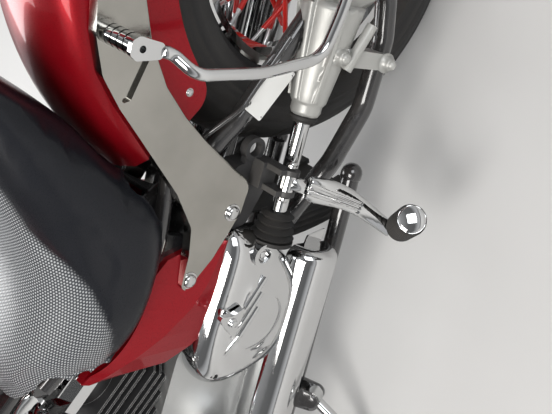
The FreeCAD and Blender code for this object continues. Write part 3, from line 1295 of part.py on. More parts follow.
def build_nodes():
    """Every piece by name, upright."""
    nodes = {}
    nodes.update(wheel("rear", REAR_AXLE, REAR_TYRE_R, REAR_TYRE_HALF, REAR_FLANGE_R,
                       REAR_RIM_HALF, REAR_HUB_HALF, 62.0))
    nodes.update(wheel("front", FRONT_AXLE, FRONT_TYRE_R, FRONT_TYRE_HALF, FRONT_FLANGE_R,
                       FRONT_RIM_HALF, FRONT_HUB_HALF, 48.0))
    nodes["front_disc"] = front_disc()
    left_cradle = joined(cradle(1), stand_lug())
    right_cradle = cradle(-1)
    rails = seat_rails()
    spine = frame_backbone().cut(left_cradle).cut(right_cradle)
    nodes["frame_cradle_left"], nodes["frame_cradle_right"] = left_cradle, right_cradle
    nodes["frame_spine"] = spine
    nodes["seat_frame"] = rails.cut(left_cradle).cut(right_cradle).cut(spine)
    nodes["swingarm"] = swingarm()
    nodes["rear_axle"] = rear_axle()
    nodes["rear_brake"] = rear_brake()
    nodes["driveshaft"] = driveshaft()
    nodes["shaft_boot"] = shaft_boot()
    nodes["final_drive"] = final_drive()
    nodes["rear_fender"] = rear_fender()
    nodes["inner_mudguard"] = inner_mudguard()
    nodes["fender_struts"] = both(strut_left())
    nodes["luggage_rails"] = both(luggage_rail())
    stands = [rail_standoff(*RAIL_FOOT), rail_standoff(*RAIL_BACK)]
    nodes["rail_standoffs"] = group(stands + [mirrored(s) for s in stands])
    nodes["seat"] = seat()
    nodes["pillion_pad"] = pillion_pad()
    nodes["fuel_tank"] = fuel_tank()
    nodes["console"] = console()
    nodes["side_covers"] = both(side_cover_left())
    nodes["crankcase"] = crankcase()
    nodes["cylinders"] = group([cylinder_unit(-1), cylinder_unit(1)])
    nodes["rocker_covers"] = group([rocker_cover(-1), rocker_cover(1)])
    nodes["engine_cover_left"] = engine_cover_left()
    nodes["engine_cover_right"] = engine_cover_right()
    nodes["air_cleaner"] = air_cleaner()
    nodes["exhausts"] = group([exhaust_front(), exhaust_rear()])
    nodes["foot_controls"] = group([rider_peg(1), rider_peg(-1)])
    nodes["peg_brackets"] = group([peg_bracket(1), peg_bracket(-1)])
    nodes["tail_lamp"], nodes["tail_lens"] = tail_lamp()
    nodes["plate_bracket"] = plate_bracket()
    nodes["rear_signals"] = rear_signals()
    nodes["fork_legs"] = fork_legs()
    nodes["triple_clamps"] = triple_clamps()
    nodes["fork_covers"] = fork_covers()
    nodes["handlebar"] = handlebar()
    nodes["grips"] = grips()
    (left, mirror_left), (right, mirror_right) = hand_controls(1), hand_controls(-1)
    nodes["hand_controls"] = group([left, right])
    nodes["mirrors"] = group([mirror_left, mirror_right])
    nodes["headlight"] = headlight()
    nodes["headlight_lens"] = headlight_lens()
    nodes["front_signals"] = front_signals()
    nodes["front_fender"] = front_fender()
    nodes["front_axle"] = front_axle()
    nodes["front_caliper"] = front_caliper()
    nodes["passenger_peg_left"], nodes["peg_rubber_left"] = peg_arm(), peg_rubber()
    nodes["passenger_peg_right"] = raised_right(peg_arm())
    nodes["peg_rubber_right"] = raised_right(peg_rubber())
    nodes["side_stand"] = side_stand()
    return nodes


PEG_RIGHT_UP = 62.0      # degrees that the right peg is stored above the left one's place


def raised_right(left):
    """Left peg's piece on the right, where the peg is stored part way up."""
    piece = mirrored(left)
    piece.rotate(V(PEG_PIVOT.x, -PEG_PIVOT.y, PEG_PIVOT.z), V(1, 0, 0), -PEG_RIGHT_UP)
    return piece


# Seating: each piece gives way to those named, so that they meet face to face
GIVES_WAY = {
    "headlight": ["fork_covers"], "front_signals": ["fork_covers"], "front_caliper": ["fork_legs"],
    "final_drive": ["swingarm"], "luggage_rails": ["rail_standoffs"], "console": ["fuel_tank"],
    "rocker_covers": ["cylinders"], "air_cleaner": ["cylinders"], "exhausts": ["cylinders"],
    "side_covers": ["fender_struts", "seat"], "engine_cover_left": ["side_covers"],
    "driveshaft": ["engine_cover_left"], "shaft_boot": ["driveshaft", "engine_cover_left"],
    "peg_rubber_left": ["passenger_peg_left"], "peg_rubber_right": ["passenger_peg_right"],
    "rear_brake": ["swingarm"], "peg_brackets": ["frame_cradle_left", "frame_cradle_right"],
}


def seated(nodes):
    for name, others in GIVES_WAY.items():
        for other in others:
            nodes[name] = nodes[name].cut(nodes[other])
    return nodes


def lean(shape):
    out = shape.copy()
    out.rotate(V(0, 0, 0), V(1, 0, 0), -LEAN)
    return out


def bounds(nodes):
    box = FreeCAD.BoundBox()
    for shape in nodes.values():
        box.add(shape.optimalBoundingBox(False, False))
    return box


def parked(nodes):
    """Every piece leaned and shifted so that the origin is below the middle of the whole."""
    nodes = {name: lean(shape) for name, shape in nodes.items()}
    box = bounds(nodes)
    shift = V(-(box.XMin + box.XMax) / 2, -(box.YMin + box.YMax) / 2, -box.ZMin)
    for shape in nodes.values():
        shape.translate(shift)
    return nodes, shift


def main():
    os.makedirs("parts", exist_ok=True)
    nodes = parked(seated(build_nodes()))[0]
    for name, shape in nodes.items():
        shape.exportStep("parts/" + name + ".step")


if __name__ == "__main__":
    main()
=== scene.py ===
"""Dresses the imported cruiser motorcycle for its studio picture.

The frame is in metres, +X ahead, +Y to the rider's left and +Z up.  New pieces are drawn on the
upright machine, in millimetres from the ground below the rear axle, and one matrix leans them.
"""
import heapq
import json
import logging
import math
from dataclasses import dataclass
from enum import Enum
from typing import Iterable, Optional, Sequence

import bmesh
import bpy
from mathutils import Matrix, Vector


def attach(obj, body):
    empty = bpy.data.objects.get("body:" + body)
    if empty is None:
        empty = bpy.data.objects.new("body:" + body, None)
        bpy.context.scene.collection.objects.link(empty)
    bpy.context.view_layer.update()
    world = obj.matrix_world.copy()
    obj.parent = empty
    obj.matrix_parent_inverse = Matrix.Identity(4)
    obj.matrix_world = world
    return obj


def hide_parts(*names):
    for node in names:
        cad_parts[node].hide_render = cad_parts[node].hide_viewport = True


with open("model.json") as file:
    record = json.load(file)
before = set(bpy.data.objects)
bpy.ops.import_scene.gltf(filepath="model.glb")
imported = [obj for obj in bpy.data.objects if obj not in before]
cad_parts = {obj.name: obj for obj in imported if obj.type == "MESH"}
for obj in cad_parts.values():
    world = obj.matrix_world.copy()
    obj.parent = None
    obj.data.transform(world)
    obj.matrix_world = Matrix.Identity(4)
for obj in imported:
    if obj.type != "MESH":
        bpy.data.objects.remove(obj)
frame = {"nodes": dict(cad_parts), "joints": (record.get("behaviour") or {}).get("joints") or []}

Pair = tuple[float, float]
Triple = tuple[float, float, float]
Rows = tuple[Pair, ...]
Node = bpy.types.Node
Socket = bpy.types.NodeSocket
Painted = tuple[Socket, Optional[Socket]]

LOG = logging.getLogger("motorcycle")
MM = 0.001
SENSOR_MM = 36.0
# The upright machine's own measures, in millimetres and degrees.
REAR_AXLE_HIGH = 322.0
RAKE_DEG = 35.0
STEER_GROUND_X = 1774.42
# Edges sharper than this stay sharp, on new pieces and on the nodes' copies.
SHARP_DEG = 38.0
SKIN_SHARP_DEG = 32.0
# Corners this close are one: in millimetres on new pieces, in metres on the nodes' copies.
MERGE_MM = 0.001
SKIN_MERGE = 0.000002
PAD_MERGE = 0.00001
# Gap between rows of staggered dots, for a gap of 1 between dots of a row.
ROW_GAP = 1.732


class Body(str, Enum):
    """Bodies that new pieces ride on."""

    CHASSIS = "chassis"
    STEERING = "steering"
    FRONT_WHEEL = "front_wheel"
    REAR_WHEEL = "rear_wheel"
    PEG_LEFT = "passenger_peg_left"
    PEG_RIGHT = "passenger_peg_right"


def joint(name: str) -> dict:
    """The frame's joint of that name.

    Args:
        name: the joint's name in the record.

    Returns:
        The joint's entry.
    """
    return next(entry for entry in frame["joints"] if entry["name"] == name)


def stance() -> Matrix:
    """The matrix from the upright machine's millimetres to the leaning frame's metres.

    Returns:
        The 4 by 4 matrix, from the rear wheel's joint.
    """
    hinge = joint("rear_wheel_spin")
    lean = math.atan2(-hinge["axis"][2], hinge["axis"][1])
    turn = Matrix.Rotation(-lean, 4, "X") @ Matrix.Scale(MM, 4)
    axle = turn @ Vector((0.0, 0.0, REAR_AXLE_HIGH))
    return Matrix.Translation(Vector(hinge["pos_m"]) - axle) @ turn


STANCE = stance()


class ShaderTree:
    """One material's or group's nodes, with short calls to add and join them."""

    def __init__(self, tree: bpy.types.NodeTree) -> None:
        """Keeps the tree that the nodes go into."""
        self.tree = tree

    def node(self, kind: str, **values: object) -> Node:
        """Adds a node and sets its inputs or properties by name.

        Args:
            kind: the node's type name.
            **values: property names, or socket names with spaces as underscores.

        Returns:
            The new node.
        """
        made = self.tree.nodes.new(kind)
        for key, value in values.items():
            if hasattr(made, key):
                setattr(made, key, value)
            else:
                self.put(made.inputs[key.replace("_", " ")], value)
        return made

    def put(self, socket: Socket, value: object) -> None:
        """Links an output into the socket, or sets its plain value."""
        if isinstance(value, Socket):
            self.tree.links.new(value, socket)
        else:
            socket.default_value = value

    def coordinates(self) -> Socket:
        """The object coordinates, which are the frame's metres."""
        return self.node("ShaderNodeTexCoord").outputs["Object"]

    def number(self, operation: str, *values: object, clamp: bool = False) -> Socket:
        """Adds a maths node.

        Args:
            operation: what it works out.
            *values: its inputs in order, sockets or numbers.
            clamp: whether the result stays between 0 and 1.

        Returns:
            The result's socket.
        """
        made = self.node("ShaderNodeMath", operation=operation, use_clamp=clamp)
        for socket, value in zip(made.inputs, values):
            self.put(socket, value)
        return made.outputs[0]

    def vector(self, operation: str, *values: object) -> Socket:
        """Adds a vector maths node.

        Args:
            operation: what it works out.
            *values: its inputs in order, sockets or vectors.

        Returns:
            The result's socket, a number for a length or a dot product.
        """
        made = self.node("ShaderNodeVectorMath", operation=operation)
        for socket, value in zip(made.inputs, values):
            self.put(socket, value)
        return made.outputs["Value" if operation in ("LENGTH", "DOT_PRODUCT") else "Vector"]

    def blend(self, share: object, first: object, second: object) -> Socket:
        """Adds a mix of two colours.

        Args:
            share: how much of the second colour shows.
            first: the first colour.
            second: the second colour.

        Returns:
            The mixed colour's socket.
        """
        made = self.node("ShaderNodeMix", data_type="RGBA")
        for index, value in zip((0, 6, 7), (share, first, second)):
            self.put(made.inputs[index], value)
        return made.outputs[2]


def new_group(name: str, inputs: Sequence[tuple[str, str, object]],
              outputs: Sequence[tuple[str, str]]) -> tuple[ShaderTree, Node, Node]:
    """Starts a shader node group with named sockets.

    Args:
        name: the group's name.
        inputs: socket name, kind (Float, Color, Vector) and plain value of each input.
        outputs: socket name and kind of each output.

    Returns:
        The group's tree, its input node and its output node.
    """
    tree = bpy.data.node_groups.new(name, "ShaderNodeTree")
    for label, kind, value in inputs:
        socket = tree.interface.new_socket(label, in_out="INPUT", socket_type="NodeSocket" + kind)
        if value is not None:
            socket.default_value = value
    for label, kind in outputs:
        tree.interface.new_socket(label, in_out="OUTPUT", socket_type="NodeSocket" + kind)
    shader = ShaderTree(tree)
    return shader, shader.node("NodeGroupInput"), shader.node("NodeGroupOutput")


def grain_group() -> bpy.types.NodeTree:
    """Fine noise as a value between two limits and as a height.

    Returns:
        The node group.
    """
    shader, given, result = new_group(
        "grain", [("Vector", "Vector", None), ("Scale", "Float", 200.0), ("Low", "Float", 0.3),
                  ("High", "Float", 0.5), ("Detail", "Float", 4.0)],
        [("Value", "Float"), ("Height", "Float")])
    noise = shader.node("ShaderNodeTexNoise", Vector=given.outputs["Vector"],
                        Scale=given.outputs["Scale"], Detail=given.outputs["Detail"])
    spread = shader.node("ShaderNodeMapRange", Value=noise.outputs["Fac"], From_Min=0.3,
                         From_Max=0.7, To_Min=given.outputs["Low"], To_Max=given.outputs["High"])
    shader.put(result.inputs["Value"], spread.outputs["Result"])
    shader.put(result.inputs["Height"], noise.outputs["Fac"])
    return shader.tree


def mottle_group() -> bpy.types.NodeTree:
    """A colour that drifts towards a second one in soft patches.

    Returns:
        The node group.
    """
    shader, given, result = new_group(
        "mottle", [("Vector", "Vector", None), ("Color", "Color", (1, 1, 1, 1)),
                   ("Other", "Color", (0, 0, 0, 1)), ("Scale", "Float", 12.0),
                   ("Amount", "Float", 0.3)], [("Color", "Color")])
    noise = shader.node("ShaderNodeTexNoise", Vector=given.outputs["Vector"],
                        Scale=given.outputs["Scale"], Detail=3.0)
    share = shader.number("MULTIPLY", noise.outputs["Fac"], given.outputs["Amount"])
    shader.put(result.inputs["Color"],
               shader.blend(share, given.outputs["Color"], given.outputs["Other"]))
    return shader.tree


def dust_group() -> bpy.types.NodeTree:
    """Thin road dust that gathers on faces that look up.

    Returns:
        The node group.
    """
    shader, given, result = new_group(
        "dust", [("Vector", "Vector", None), ("Color", "Color", (1, 1, 1, 1)),
                 ("Dust", "Color", (0.35, 0.31, 0.26, 1)), ("Amount", "Float", 0.1),
                 ("Scale", "Float", 30.0)], [("Color", "Color"), ("Mask", "Float")])
    up = shader.node("ShaderNodeSeparateXYZ",
                     Vector=shader.node("ShaderNodeNewGeometry").outputs["Normal"])
    lie = shader.node("ShaderNodeMapRange", Value=up.outputs["Z"], From_Min=-0.4, From_Max=1.0)
    noise = shader.node("ShaderNodeTexNoise", Vector=given.outputs["Vector"],
                        Scale=given.outputs["Scale"], Detail=6.0)
    patch = shader.number("MULTIPLY", lie.outputs["Result"], noise.outputs["Fac"])
    mask = shader.number("MULTIPLY", patch, given.outputs["Amount"])
    shader.put(result.inputs["Color"],
               shader.blend(mask, given.outputs["Color"], given.outputs["Dust"]))
    shader.put(result.inputs["Mask"], mask)
    return shader.tree


def edge_group() -> bpy.types.NodeTree:
    """A mask of the sharp edges, for machined fins and worn corners.

    Returns:
        The node group.
    """
    shader, given, result = new_group(
        "sharp_edges", [("Radius", "Float", 0.001), ("Sharpness", "Float", 6.0)],
        [("Mask", "Float")])
    soft = shader.node("ShaderNodeBevel", samples=6, Radius=given.outputs["Radius"])
    plain = shader.node("ShaderNodeNewGeometry")
    along = shader.vector("DOT_PRODUCT", soft.outputs["Normal"], plain.outputs["Normal"])
    away = shader.number("SUBTRACT", 1.0, along)
    shader.put(result.inputs["Mask"],
               shader.number("MULTIPLY", away, given.outputs["Sharpness"], clamp=True))
    return shader.tree


GROUPS = {"grain": grain_group(), "mottle": mottle_group(), "dust": dust_group(),
          "edges": edge_group()}


@dataclass(frozen=True)
class Finish:
    """One surface finish: its colours, gloss, grain and dust."""

    name: str
    colour: Triple
    other: Triple
    rough: Pair = (0.3, 0.45)
    metal: float = 0.0
    coat: float = 0.0
    coat_rough: float = 0.04
    grain_scale: float = 300.0
    grain_deep: float = 0.0001
    grain_strength: float = 0.25
    patch_scale: float = 9.0
    patch_amount: float = 0.6
    dust: float = 0.15
    through: float = 0.0
    mirror_level: float = 0.5
    relief_high: float = 2.0

    def start(self) -> tuple[bpy.types.Material, ShaderTree, Node]:
        """Makes the empty material with its shader.

        Returns:
            The material, its tree and the principled shader.
        """
        material = bpy.data.materials.new(self.name)
        material.use_nodes = True
        material.node_tree.nodes.clear()
        shader = ShaderTree(material.node_tree)
        surface = shader.node("ShaderNodeBsdfPrincipled")
        surface.inputs["Metallic"].default_value = self.metal
        surface.inputs["Coat Weight"].default_value = self.coat
        surface.inputs["Coat Roughness"].default_value = self.coat_rough
        surface.inputs["Transmission Weight"].default_value = self.through
        surface.inputs["Specular IOR Level"].default_value = self.mirror_level
        shader.node("ShaderNodeOutputMaterial", Surface=surface.outputs["BSDF"])
        return material, shader, surface

    def group(self, shader: ShaderTree, name: str, **values: object) -> Node:
        """Places one of the shared groups.

        Args:
            shader: the material's tree.
            name: the group's key.
            **values: its inputs.

        Returns:
            The group node.
        """
        made = shader.node("ShaderNodeGroup", node_tree=GROUPS[name])
        for key, value in values.items():
            shader.put(made.inputs[key.replace("_", " ")], value)
        return made

    def base(self, shader: ShaderTree, place: Socket) -> Socket:
        """The colour before dust.

        Args:
            shader: the material's tree.
            place: the coordinates.

        Returns:
            The colour socket.
        """
        mottle = self.group(shader, "mottle", Vector=place, Color=(*self.colour, 1.0),
                            Other=(*self.other, 1.0), Scale=self.patch_scale,
                            Amount=self.patch_amount)
        return mottle.outputs["Color"]

    def paint(self, shader: ShaderTree, surface: Node, place: Socket) -> Painted:
        """The finish's own pattern, which a patterned finish sets out anew.

        Args:
            shader: the material's tree.
            surface: its principled shader.
            place: the coordinates.

        Returns:
            The colour below the dust, and the mask that stands out, if there is one.
        """
        return self.base(shader, place), None

    def build(self) -> bpy.types.Material:
        """Makes the material.

        Returns:
            The material with its pattern, dust, gloss drift and grain.
        """
        material, shader, surface = self.start()
        place = shader.coordinates()
        colour, relief = self.paint(shader, surface, place)
        if self.dust:
            dusty = self.group(shader, "dust", Vector=place, Color=colour, Amount=self.dust)
            colour = dusty.outputs["Color"]
        shader.put(surface.inputs["Base Color"], colour)
        grain = self.group(shader, "grain", Vector=place, Scale=self.grain_scale,
                           Low=self.rough[0], High=self.rough[1])
        shader.put(surface.inputs["Roughness"], grain.outputs["Value"])
        height = grain.outputs["Height"]
        if relief is not None:
            height = shader.number("MULTIPLY_ADD", relief, self.relief_high, height)
        if self.grain_strength:
            bump = shader.node("ShaderNodeBump", Height=height, Distance=self.grain_deep,
                               Strength=self.grain_strength)
            shader.put(surface.inputs["Normal"], bump.outputs["Normal"])
        return material


@dataclass(frozen=True)
class FinFinish(Finish):
    """Black engine paint rubbed bright along its sharp edges."""

    bright: Triple = (0.7, 0.7, 0.7)
    edge_wide: float = 0.0012
    edge_sharp: float = 9.0

    def paint(self, shader: ShaderTree, surface: Node, place: Socket) -> Painted:
        """Black with bright metal edges; see Finish.paint."""
        edge = self.group(shader, "edges", Radius=self.edge_wide,
                          Sharpness=self.edge_sharp).outputs["Mask"]
        shader.put(surface.inputs["Metallic"], edge)
        return shader.blend(edge, self.base(shader, place), (*self.bright, 1.0)), None


@dataclass(frozen=True)
class SpokeFinish(Finish):
    """Red sleeves between a grey hub and silver nipples, told apart by the reach from the axle."""

    joint_name: str = "rear_wheel_spin"
    hub_reach: float = 0.075
    nipple_reach: float = 0.15
    hub: Triple = (0.30, 0.31, 0.32)
    hub_metal: float = 0.9
    nipple: Triple = (0.72, 0.72, 0.72)

    def paint(self, shader: ShaderTree, surface: Node, place: Socket) -> Painted:
        """Bands of colour and metal round the wheel's joint; see Finish.paint."""
        hinge = joint(self.joint_name)
        arm = shader.vector("SUBTRACT", place, hinge["pos_m"])
        reach = shader.vector("LENGTH", shader.vector("CROSS_PRODUCT", arm, hinge["axis"]))
        past_hub = shader.number("GREATER_THAN", reach, self.hub_reach)
        past_sleeve = shader.number("GREATER_THAN", reach, self.nipple_reach)
        metal = shader.number("MULTIPLY_ADD", past_hub, -1.0, self.hub_metal, clamp=True)
        shader.put(surface.inputs["Metallic"], shader.number("MAXIMUM", metal, past_sleeve))
        inner = shader.blend(past_hub, (*self.hub, 1.0), self.base(shader, place))
        return shader.blend(past_sleeve, inner, (*self.nipple, 1.0)), None


@dataclass(frozen=True)
class PanelFinish(Finish):
    """Smooth black vinyl with a stippled grey panel, set out by the pad's own map; the panel's grey
    is partly a painted sky reflection and its light dots are painted highlights.
    """

    # The panel's grey is partly a painted reflection of the sky on the seat's top.
    panel: Triple = (0.058, 0.063, 0.070)
    panel_shade: float = 0.6
    panel_patch: float = 14.0
    panel_amount: float = 0.5
    # The dots' light grey is a painted highlight on the raised nubs; the dot pattern itself is
    # real.
    dot_painted_highlight: Triple = (0.44, 0.45, 0.46)
    pitch: float = 0.0045
    dot_share: float = 0.27
    dot_soft: float = 0.06

    def stipple(self, shader: ShaderTree) -> Socket:
        """Round dots in staggered rows on the pad's map.

        Args:
            shader: the material's tree.

        Returns:
            The dots' mask.
        """
        spots = shader.node("ShaderNodeUVMap", uv_map="panel_map").outputs["UV"]
        masks = []
        for shift in (0.0, 0.5):
            cell = shader.vector("MULTIPLY_ADD", spots,
                                 (1 / self.pitch, 1 / (self.pitch * ROW_GAP), 0.0),
                                 (shift, shift, 0.0))
            off = shader.vector("SUBTRACT", shader.vector("FRACTION", cell), (0.5, 0.5, 0.0))
            away = shader.vector("LENGTH", shader.vector("MULTIPLY", off, (1.0, ROW_GAP, 0.0)))
            masks.append(shader.node("ShaderNodeMapRange", Value=away,
                                     From_Min=self.dot_share + self.dot_soft,
                                     From_Max=self.dot_share - self.dot_soft).outputs["Result"])
        return shader.number("MAXIMUM", *masks)

    def paint(self, shader: ShaderTree, surface: Node, place: Socket) -> Painted:
        """Vinyl with the panel's raised dots, coloured light as painted highlights; see
        Finish.paint.
        """
        dots = self.stipple(shader)
        inside = shader.node("ShaderNodeAttribute", attribute_name="panel").outputs["Fac"]
        dark = tuple(channel * self.panel_shade for channel in self.panel)
        ground = self.group(shader, "mottle", Vector=place, Color=(*self.panel, 1.0),
                            Other=(*dark, 1.0), Scale=self.panel_patch, Amount=self.panel_amount)
        # Painted highlights: the raised dots are mixed in light grey over the panel.
        dotted = shader.blend(dots, ground.outputs["Color"], (*self.dot_painted_highlight, 1.0))
        return (shader.blend(inside, self.base(shader, place), dotted),
                shader.number("MULTIPLY", dots, inside))


CHROME = Finish("chrome_plate", (0.64, 0.645, 0.65), (0.55, 0.55, 0.54), rough=(0.03, 0.09),
                metal=1.0, grain_scale=60.0, grain_deep=0.0001, grain_strength=0.05, dust=0.05)
RED = Finish("candy_red_lacquer", (0.31, 0.001, 0.008), (0.18, 0.0, 0.004), rough=(0.26, 0.36),
             metal=0.45, mirror_level=0.2, coat=0.32, coat_rough=0.03, grain_scale=900.0,
             grain_deep=0.00002, grain_strength=0.1, patch_scale=480.0, patch_amount=0.9,
             dust=0.03)
BLACK = Finish("black_enamel", (0.012, 0.012, 0.014), (0.02, 0.02, 0.022), rough=(0.15, 0.28),
               coat=1.0, grain_scale=120.0, grain_deep=0.00005, grain_strength=0.1, dust=0.12)
CAST_BLACK = Finish("black_casting", (0.02, 0.02, 0.022), (0.045, 0.045, 0.045),
                    rough=(0.42, 0.6), grain_scale=700.0, grain_deep=0.0003, grain_strength=0.35)
PLASTIC = Finish("dull_black_moulding", (0.010, 0.010, 0.011), (0.02, 0.02, 0.021),
                 rough=(0.5, 0.7), grain_scale=900.0, grain_deep=0.0002, dust=0.2,
                 mirror_level=0.35)
RUBBER = Finish("black_rubber", (0.010, 0.010, 0.011), (0.02, 0.02, 0.02), rough=(0.55, 0.72),
                grain_scale=1100.0, grain_deep=0.0002, dust=0.15, mirror_level=0.35)
TYRE = Finish("road_tyre", (0.014, 0.014, 0.015), (0.032, 0.031, 0.030), rough=(0.6, 0.78),
              grain_scale=800.0, grain_deep=0.0002, dust=0.22, mirror_level=0.35)
ALLOY = Finish("cast_alloy", (0.52, 0.53, 0.53), (0.42, 0.42, 0.41), rough=(0.3, 0.42),
               metal=0.85, grain_scale=1200.0, grain_deep=0.00015, grain_strength=0.3, dust=0.1)
STEEL = Finish("ground_steel", (0.55, 0.55, 0.56), (0.45, 0.45, 0.45), rough=(0.25, 0.4),
               metal=1.0, grain_scale=500.0)
VINYL = Finish("smooth_vinyl", (0.006, 0.007, 0.010), (0.012, 0.013, 0.017), rough=(0.24, 0.34),
               grain_scale=1500.0, grain_deep=0.0002, grain_strength=0.3, dust=0.03,
               mirror_level=0.22)
FINS = FinFinish("black_fins", (0.014, 0.014, 0.015), (0.03, 0.03, 0.03), rough=(0.3, 0.45),
                 grain_scale=700.0, grain_deep=0.0002, dust=0.0)
REAR_LACING = SpokeFinish("rear_lacing", (0.60, 0.012, 0.006), (0.45, 0.006, 0.004),
                          rough=(0.28, 0.4), coat=0.5, grain_strength=0.0, dust=0.0)
FRONT_LACING = SpokeFinish("front_lacing", (0.60, 0.012, 0.006), (0.45, 0.006, 0.004),
                           rough=(0.28, 0.4), coat=0.5, grain_strength=0.0, dust=0.0,
                           joint_name="front_wheel_spin", hub_reach=0.062, nipple_reach=0.165)
RED_LENS = Finish("red_lens", (0.45, 0.006, 0.008), (0.3, 0.0, 0.0), rough=(0.08, 0.16), coat=1.0,
                  dust=0.05)
AMBER_LENS = Finish("amber_lens", (0.75, 0.26, 0.02), (0.6, 0.16, 0.0), rough=(0.1, 0.2),
                    coat=1.0, dust=0.05)
GLASS = Finish("lamp_glass", (0.9, 0.93, 0.95), (0.8, 0.84, 0.86), rough=(0.02, 0.06),
               through=1.0, dust=0.03, grain_strength=0.02)
SADDLE = PanelFinish("saddle_vinyl", (0.006, 0.007, 0.010), (0.012, 0.013, 0.017),
                     rough=(0.24, 0.34), grain_scale=1500.0, grain_deep=0.0002, grain_strength=0.3,
                     dust=0.03, mirror_level=0.24)
SILVER_PAINT = Finish("silver_paint", (0.44, 0.44, 0.42), (0.36, 0.36, 0.34), rough=(0.34, 0.46),
                      metal=0.35, grain_scale=1300.0, grain_deep=0.00008, grain_strength=0.2,
                      patch_scale=20.0, dust=0.12)
# Painted reflection: the struts' warm tint and dark soft patches stand in for reflected paving.
PLATE_PAINTED_REFLECTION = Finish("strut_plate_painted_reflection", (0.47, 0.455, 0.42), (0.25, 0.245, 0.22), rough=(0.10, 0.2),
               metal=1.0, patch_scale=14.0, patch_amount=0.85, grain_scale=45.0,
               grain_deep=0.0006, grain_strength=0.25, dust=0.06)
STEEL_POLISHED = Finish("polished_steel", (0.62, 0.62, 0.62), (0.50, 0.50, 0.49),
                        rough=(0.12, 0.22), metal=1.0, grain_scale=400.0, grain_strength=0.1,
                        dust=0.06)
MIRROR_SILVER = Finish("mirror_silver", (0.88, 0.89, 0.90), (0.84, 0.85, 0.86), rough=(0.01, 0.03),
                       metal=1.0, grain_strength=0.0, dust=0.02)
LABEL_WHITE = Finish("label_white", (0.78, 0.78, 0.76), (0.66, 0.66, 0.63), rough=(0.45, 0.6),
                     patch_scale=30.0, patch_amount=0.4, grain_scale=900.0, dust=0.1)

NODE_FINISH: dict[str, Finish] = {node: finish for finish, nodes in (
    (TYRE, "rear_tyre front_tyre"), (REAR_LACING, "rear_spokes"), (FRONT_LACING, "front_spokes"),
    (STEEL, "front_disc"), (SILVER_PAINT, "final_drive"), (PLATE_PAINTED_REFLECTION, "fender_struts"),
    (FINS, "cylinders"), (CAST_BLACK, "peg_brackets"), (RED_LENS, "tail_lens"),
    (GLASS, "headlight_lens"), (VINYL, "seat pillion_pad"),
    (BLACK, "frame_cradle_left frame_cradle_right frame_spine seat_frame swingarm"),
    (RED, "rear_fender front_fender fuel_tank side_covers"),
    (PLASTIC, "inner_mudguard plate_bracket"),
    (RUBBER, "grips shaft_boot peg_rubber_left peg_rubber_right"),
    (ALLOY, "rear_brake crankcase fork_legs front_caliper"),
    (CHROME, "rear_rim front_rim rear_axle front_axle driveshaft luggage_rails rail_standoffs "
             "console rocker_covers engine_cover_left engine_cover_right air_cleaner exhausts "
             "foot_controls tail_lamp rear_signals triple_clamps fork_covers handlebar "
             "hand_controls mirrors headlight front_signals passenger_peg_left "
             "passenger_peg_right side_stand")) for node in nodes.split()}

MADE: dict[str, bpy.types.Material] = {}


def material_of(finish: Finish) -> bpy.types.Material:
    """The finish's material, built once."""
    if finish.name not in MADE:
        MADE[finish.name] = finish.build()
    return MADE[finish.name]


def dress_nodes() -> None:
    """Gives every node of the frame its finish."""
    for name, finish in NODE_FINISH.items():
        mesh = frame["nodes"][name].data
        mesh.materials.clear()
        mesh.materials.append(material_of(finish))
        LOG.info("node %s: %s", name, finish.name)


def linked(name: str, data: bpy.types.ID) -> bpy.types.Object:
    """A new object in the scene that holds the data."""
    made = bpy.data.objects.new(name, data)
    bpy.context.scene.collection.objects.link(made)
    return made


def merged(mesh: bpy.types.Mesh, apart: float) -> bpy.types.Mesh:
    """Joins a mesh's loose triangles at their corners.

    Args:
        mesh: the mesh, which is changed.
        apart: how far apart two corners may lie, in metres.

    Returns:
        The same mesh.
    """
    shape = bmesh.new()
    shape.from_mesh(mesh)
    bmesh.ops.remove_doubles(shape, verts=shape.verts, dist=apart)
    shape.to_mesh(mesh)
    shape.free()
    return mesh


def relaxed(shape: bmesh.types.BMesh, passes: int) -> None:
    """Smooths every point of a shape, several times over."""
    for _ in range(passes):
        bmesh.ops.smooth_vert(shape, verts=shape.verts, factor=0.5, use_axis_x=True,
                              use_axis_y=True, use_axis_z=True)


def bevelled(shape: bmesh.types.BMesh, geom: list, wide: float, segments: int,
             affect: str = "EDGES") -> None:
    """Rounds some edges or corners of a shape.

    Args:
        shape: the shape.
        geom: the edges or corners.
        wide: width of the rounding.
        segments: faces across it.
        affect: whether edges or vertices are rounded.
    """
    bmesh.ops.bevel(shape, geom=geom, offset=wide, affect=affect, segments=segments,
                    profile=0.5, material=-1)


def ring(centre: Sequence[float], reach: float, count: int, first: float = 0.0) -> list[Triple]:
    """Places evenly round a circle that lies flat to the machine's side.

    Args:
        centre: the circle's middle.
        reach: its radius.
        count: how many places.
        first: the first place's share of a step.

    Returns:
        The places.
    """
    x, y, z = centre
    turns = [math.tau * (n + first) / count for n in range(count)]
    return [(x + reach * math.cos(a), y, z + reach * math.sin(a)) for a in turns]


